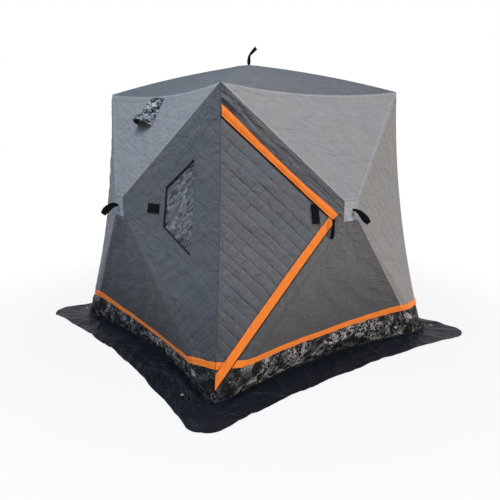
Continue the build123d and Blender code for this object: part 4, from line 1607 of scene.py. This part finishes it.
# %% [markdown]
# ## The skirt
#
# A skirt of heavy coated cloth is sewn to the foot of the walls and lies on the ice, where snow is banked on
# it to keep the wind out. It climbs the wall a little, lies in loose ripples, and its free edge bows in
# between the rounded corners. It is made as a grid whose columns run from the wall to that edge.

# %% Skirt strips
outer_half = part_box("back_skirt")[1].y
corner_radius, skirt_bow, skirt_cloth = 0.145, 0.092, 0.002
on_wall = 0.16                 # the share of the skirt that lies against the wall
skirt_lift = 0.003             # the underside's clearance from the ice
eyelet_hole = 0.0095
corner_rises = {"front": (0.030, 0.072), "right": (0.072, 0.036),
                "back": (0.036, 0.036), "left": (0.036, 0.030)}
skirt_bend = outer_half - corner_radius
eyelets = [(-(base_half + 0.091), -(base_half - 0.216)), (base_half + 0.153, -(base_half - 0.022)),
           (-(base_half - 0.022), base_half + 0.153), (base_half + 0.091, base_half - 0.216)]


def skirt_outer(along):
    """The free edge, from -1 to 1 along the front strip."""
    place = along * (skirt_bend + corner_radius * math.pi / 4)
    if abs(place) <= skirt_bend:
        return Vector((place, -outer_half + skirt_bow * (1 - (place / skirt_bend) ** 2), 0))
    angle = (abs(place) - skirt_bend) / corner_radius
    return Vector((math.copysign(skirt_bend + corner_radius * math.sin(angle), place),
                   -skirt_bend - corner_radius * math.cos(angle), 0))


def skirt_inner(along):
    """The foot of the wall."""
    place = along * base_half
    if abs(place) >= foot_half:
        return Vector((place, -base_half, 0))
    return Vector((place, hem(0.5 + place / (2 * foot_half)).y, 0))


def ripple(place, out):
    """How high the skirt stands off the ground: the same for both strips where they meet."""
    ridge = (0.32 - abs(noise.noise(Vector((place.x * 3.1, place.y * 3.1, 4.0))))) * 0.030
    fine = (0.30 - abs(noise.noise(Vector((place.x * 9.0, place.y * 9.0, 9.0))))) * 0.010
    flatten = min(ease((math.hypot(place.x - x, place.y - y) - 0.016) / 0.06) for x, y in eyelets)
    return max(0.0, ridge + fine) * ease(out / 0.25) * flatten


for wall, quarters in walls.items():
    cloth = bmesh.new()
    bmesh.ops.create_grid(cloth, x_segments=180, y_segments=26, size=0.5)
    cloth_layer, seam_layer = cloth_layers(cloth)
    turn = Matrix.Rotation(math.radians(90 * quarters), 3, "Z")
    for vert in cloth.verts:
        along, out = 2 * vert.co.x, 0.5 - vert.co.y
        inner, outer = skirt_inner(along), skirt_outer(along)
        width = (outer - inner).length
        outwards = (outer - inner).normalized()
        if out < on_wall:
            share = out / on_wall
            away = 0.0055 + 0.004 * math.sin(share * math.pi)
            place = inner + outwards * away * (1.25 if abs(along) > 0.9 else 1)
            risen = ease((along + 1) / 2)
            rise = corner_rises[wall][0] * (1 - risen) + corner_rises[wall][1] * risen
            height = skirt_lift + rise * (1 - share)
            place -= outwards * 0.010 * (1 - share) * 0.5
        else:
            share = (out - on_wall) / (1 - on_wall)
            place = (inner + outwards * 0.0055).lerp(outer, share)
            on_ice = turn @ place
            edge_wave = noise.noise(Vector((on_ice.x * 4, on_ice.y * 4, 1.0))) * 0.014
            place += outwards * edge_wave * share * share
            height = skirt_lift + ripple(on_ice, share)
        vert[cloth_layer] = (place.x, width * out, 0)
        vert[seam_layer] = (1 - out) * width
        vert.co = (place.x, place.y, height)
    for x, y in eyelets:
        local = turn.inverted() @ Vector((x, y, 0))
        if local.y > -base_half or abs(local.x) > -local.y:
            continue
        ring = [local + eyelet_hole * Vector((math.cos(i * math.pi / 6), math.sin(i * math.pi / 6), 0))
                for i in range(12)]
        open_hole(cloth, [(start, Vector((start.y - end.y, end.x - start.x, 0)).normalized())
                          for start, end in edges_of(ring)])
    area = surface(cloth)
    bmesh.ops.recalc_face_normals(cloth, faces=cloth.faces[:])
    thicken(cloth, skirt_cloth)
    skirt = piece(f"{wall}_skirt_cloth", cloth, "skirt_fabric", stands_for=[f"{wall}_skirt"],
                  quarters=quarters)
    print(skirt.name, "flat area", round(area, 3))

# %% [markdown]
# ## Eyelets
#
# Brass eyelets take the ice anchors. Each is one profile, spun round its axis: a rolled flange on top and a
# barrel through the cloth.

# %% Eyelets in the skirt
eyelet_bm = bmesh.new()
profile = [(0.0060, 0.0002), (0.0060, 0.0038), (0.0066, 0.0052), (0.0085, 0.0060), (0.0110, 0.0056),
           (0.0128, 0.0044), (0.0130, 0.0034), (0.0090, 0.0032), (0.0088, 0.0002)]
for x, y in eyelets:
    ring = [eyelet_bm.verts.new((x + radius, y, height)) for radius, height in profile]
    edges = [eyelet_bm.edges.new(pair) for pair in edges_of(ring)]
    bmesh.ops.spin(eyelet_bm, geom=ring + edges, cent=(x, y, 0), axis=(0, 0, 1), angle=2 * math.pi, steps=32,
                   use_merge=True)
bmesh.ops.remove_doubles(eyelet_bm, verts=eyelet_bm.verts[:], dist=1e-6)
bmesh.ops.recalc_face_normals(eyelet_bm, faces=eyelet_bm.faces[:])
piece("skirt_eyelets", eyelet_bm, "brass", stands_for=["skirt_grommets"], sharp=70)
print("eyelets", made[-1])

# %% [markdown]
# ## Floor and light
#
# The hut stands on a plain white floor under an even pale sky. A large lamp high up and a little to the
# left lights the roof and both walls from above, as an overcast sky does. A second one in front, at the
# height of the door, lights the door wall. A small cool one above the window wall lights the top of that
# wall more than its foot, so the wall falls into soft, bluish shade. Inside the hut the floor is left in
# its own shade, which is what shows through the open door.

# %% Floor, sky and lamps
floor_mesh = bmesh.new()
bmesh.ops.create_grid(floor_mesh, x_segments=1, y_segments=1, size=40)
floor_data = bpy.data.meshes.new("floor")
floor_mesh.to_mesh(floor_data)
floor_mesh.free()
floor = bpy.data.objects.new("floor", floor_data)
bpy.context.scene.collection.objects.link(floor)
floor_material, node = new_material("white studio floor")


def seen_straight(node):
    """1 for what the eye sees itself, in a reflection or through film, and 0 for light on its way."""
    rays = node("LightPath").node.outputs
    indirect = node("Math MAXIMUM", rays["Is Glossy Ray"], rays["Is Transmission Ray"])
    return node("Math MAXIMUM", rays["Is Camera Ray"], indirect)


tint = node("Mix", node("LightPath", out="Is Camera Ray"), colour("#7A7A7A"), colour("#F8F8F8"))
floor_shader = node("BsdfPrincipled", Base_Color=tint, Roughness=0.9)
floor_place = node("TexCoord", out="Object")
from_hut = node("VectorMath LENGTH", floor_place)
x, y, _ = node("SeparateXYZ", floor_place).node.outputs
outwards = node("Math MAXIMUM", node("Math ABSOLUTE", x), node("Math ABSOLUTE", y))
whiteness = node("Math MULTIPLY", node("MapRange", from_hut, 1.5, 3.2, 0.84, 1.0),
                 node("MapRange", outwards, base_half - 0.06, base_half))
plain_white = node("Emission", (1, 1, 1, 1), 1.0)
node("OutputMaterial", node("MixShader", node("Math MULTIPLY", seen_straight(node), whiteness),
                            floor_shader, plain_white))
floor_data.materials.append(floor_material)

world = bpy.data.worlds.new("studio")
bpy.context.scene.world = world
world.use_nodes = True
world.node_tree.nodes.clear()
node = partial(add, world.node_tree)
soft = node("Background", colour("#DAE6FF"), 0.20)
plain_white = node("Background", (1, 1, 1, 1), 1.0)
node("OutputWorld", node("MixShader", seen_straight(node), soft, plain_white))


def lamp(name, place, aim, size, power, tint):
    data = bpy.data.lights.new(name, "AREA")
    data.shape = "DISK"
    data.size = size
    data.energy = power
    data.color = colour(tint)[:3]
    light = bpy.data.objects.new(name, data)
    bpy.context.scene.collection.objects.link(light)
    light.location = place
    light.visible_camera = False
    light.rotation_euler = (Vector(aim) - Vector(place)).to_track_quat("-Z", "Y").to_euler()


lamp("front lamp", (7.2, -11.4, 1.2), (0, 0, 1), 6.0, 1200, "#FFF0DF")
lamp("high lamp", (-4.2, -4.2, 11.0), (0, 0, 1), 7.0, 600, "#ECF2FF")
lamp("side lamp", (-2.7, -0.9, 4.1), (-1.0, 0, 1.5), 2.5, 44, "#D9ECFA")
print("lamps placed")

# %% [markdown]
# ## Close
#
# The view is left plain, and the number of pieces and of their triangles is printed.

# %% Finish
bpy.context.scene.view_settings.view_transform = "Standard"
print("pieces", len(made), "triangles", sum(count for name, count in made))
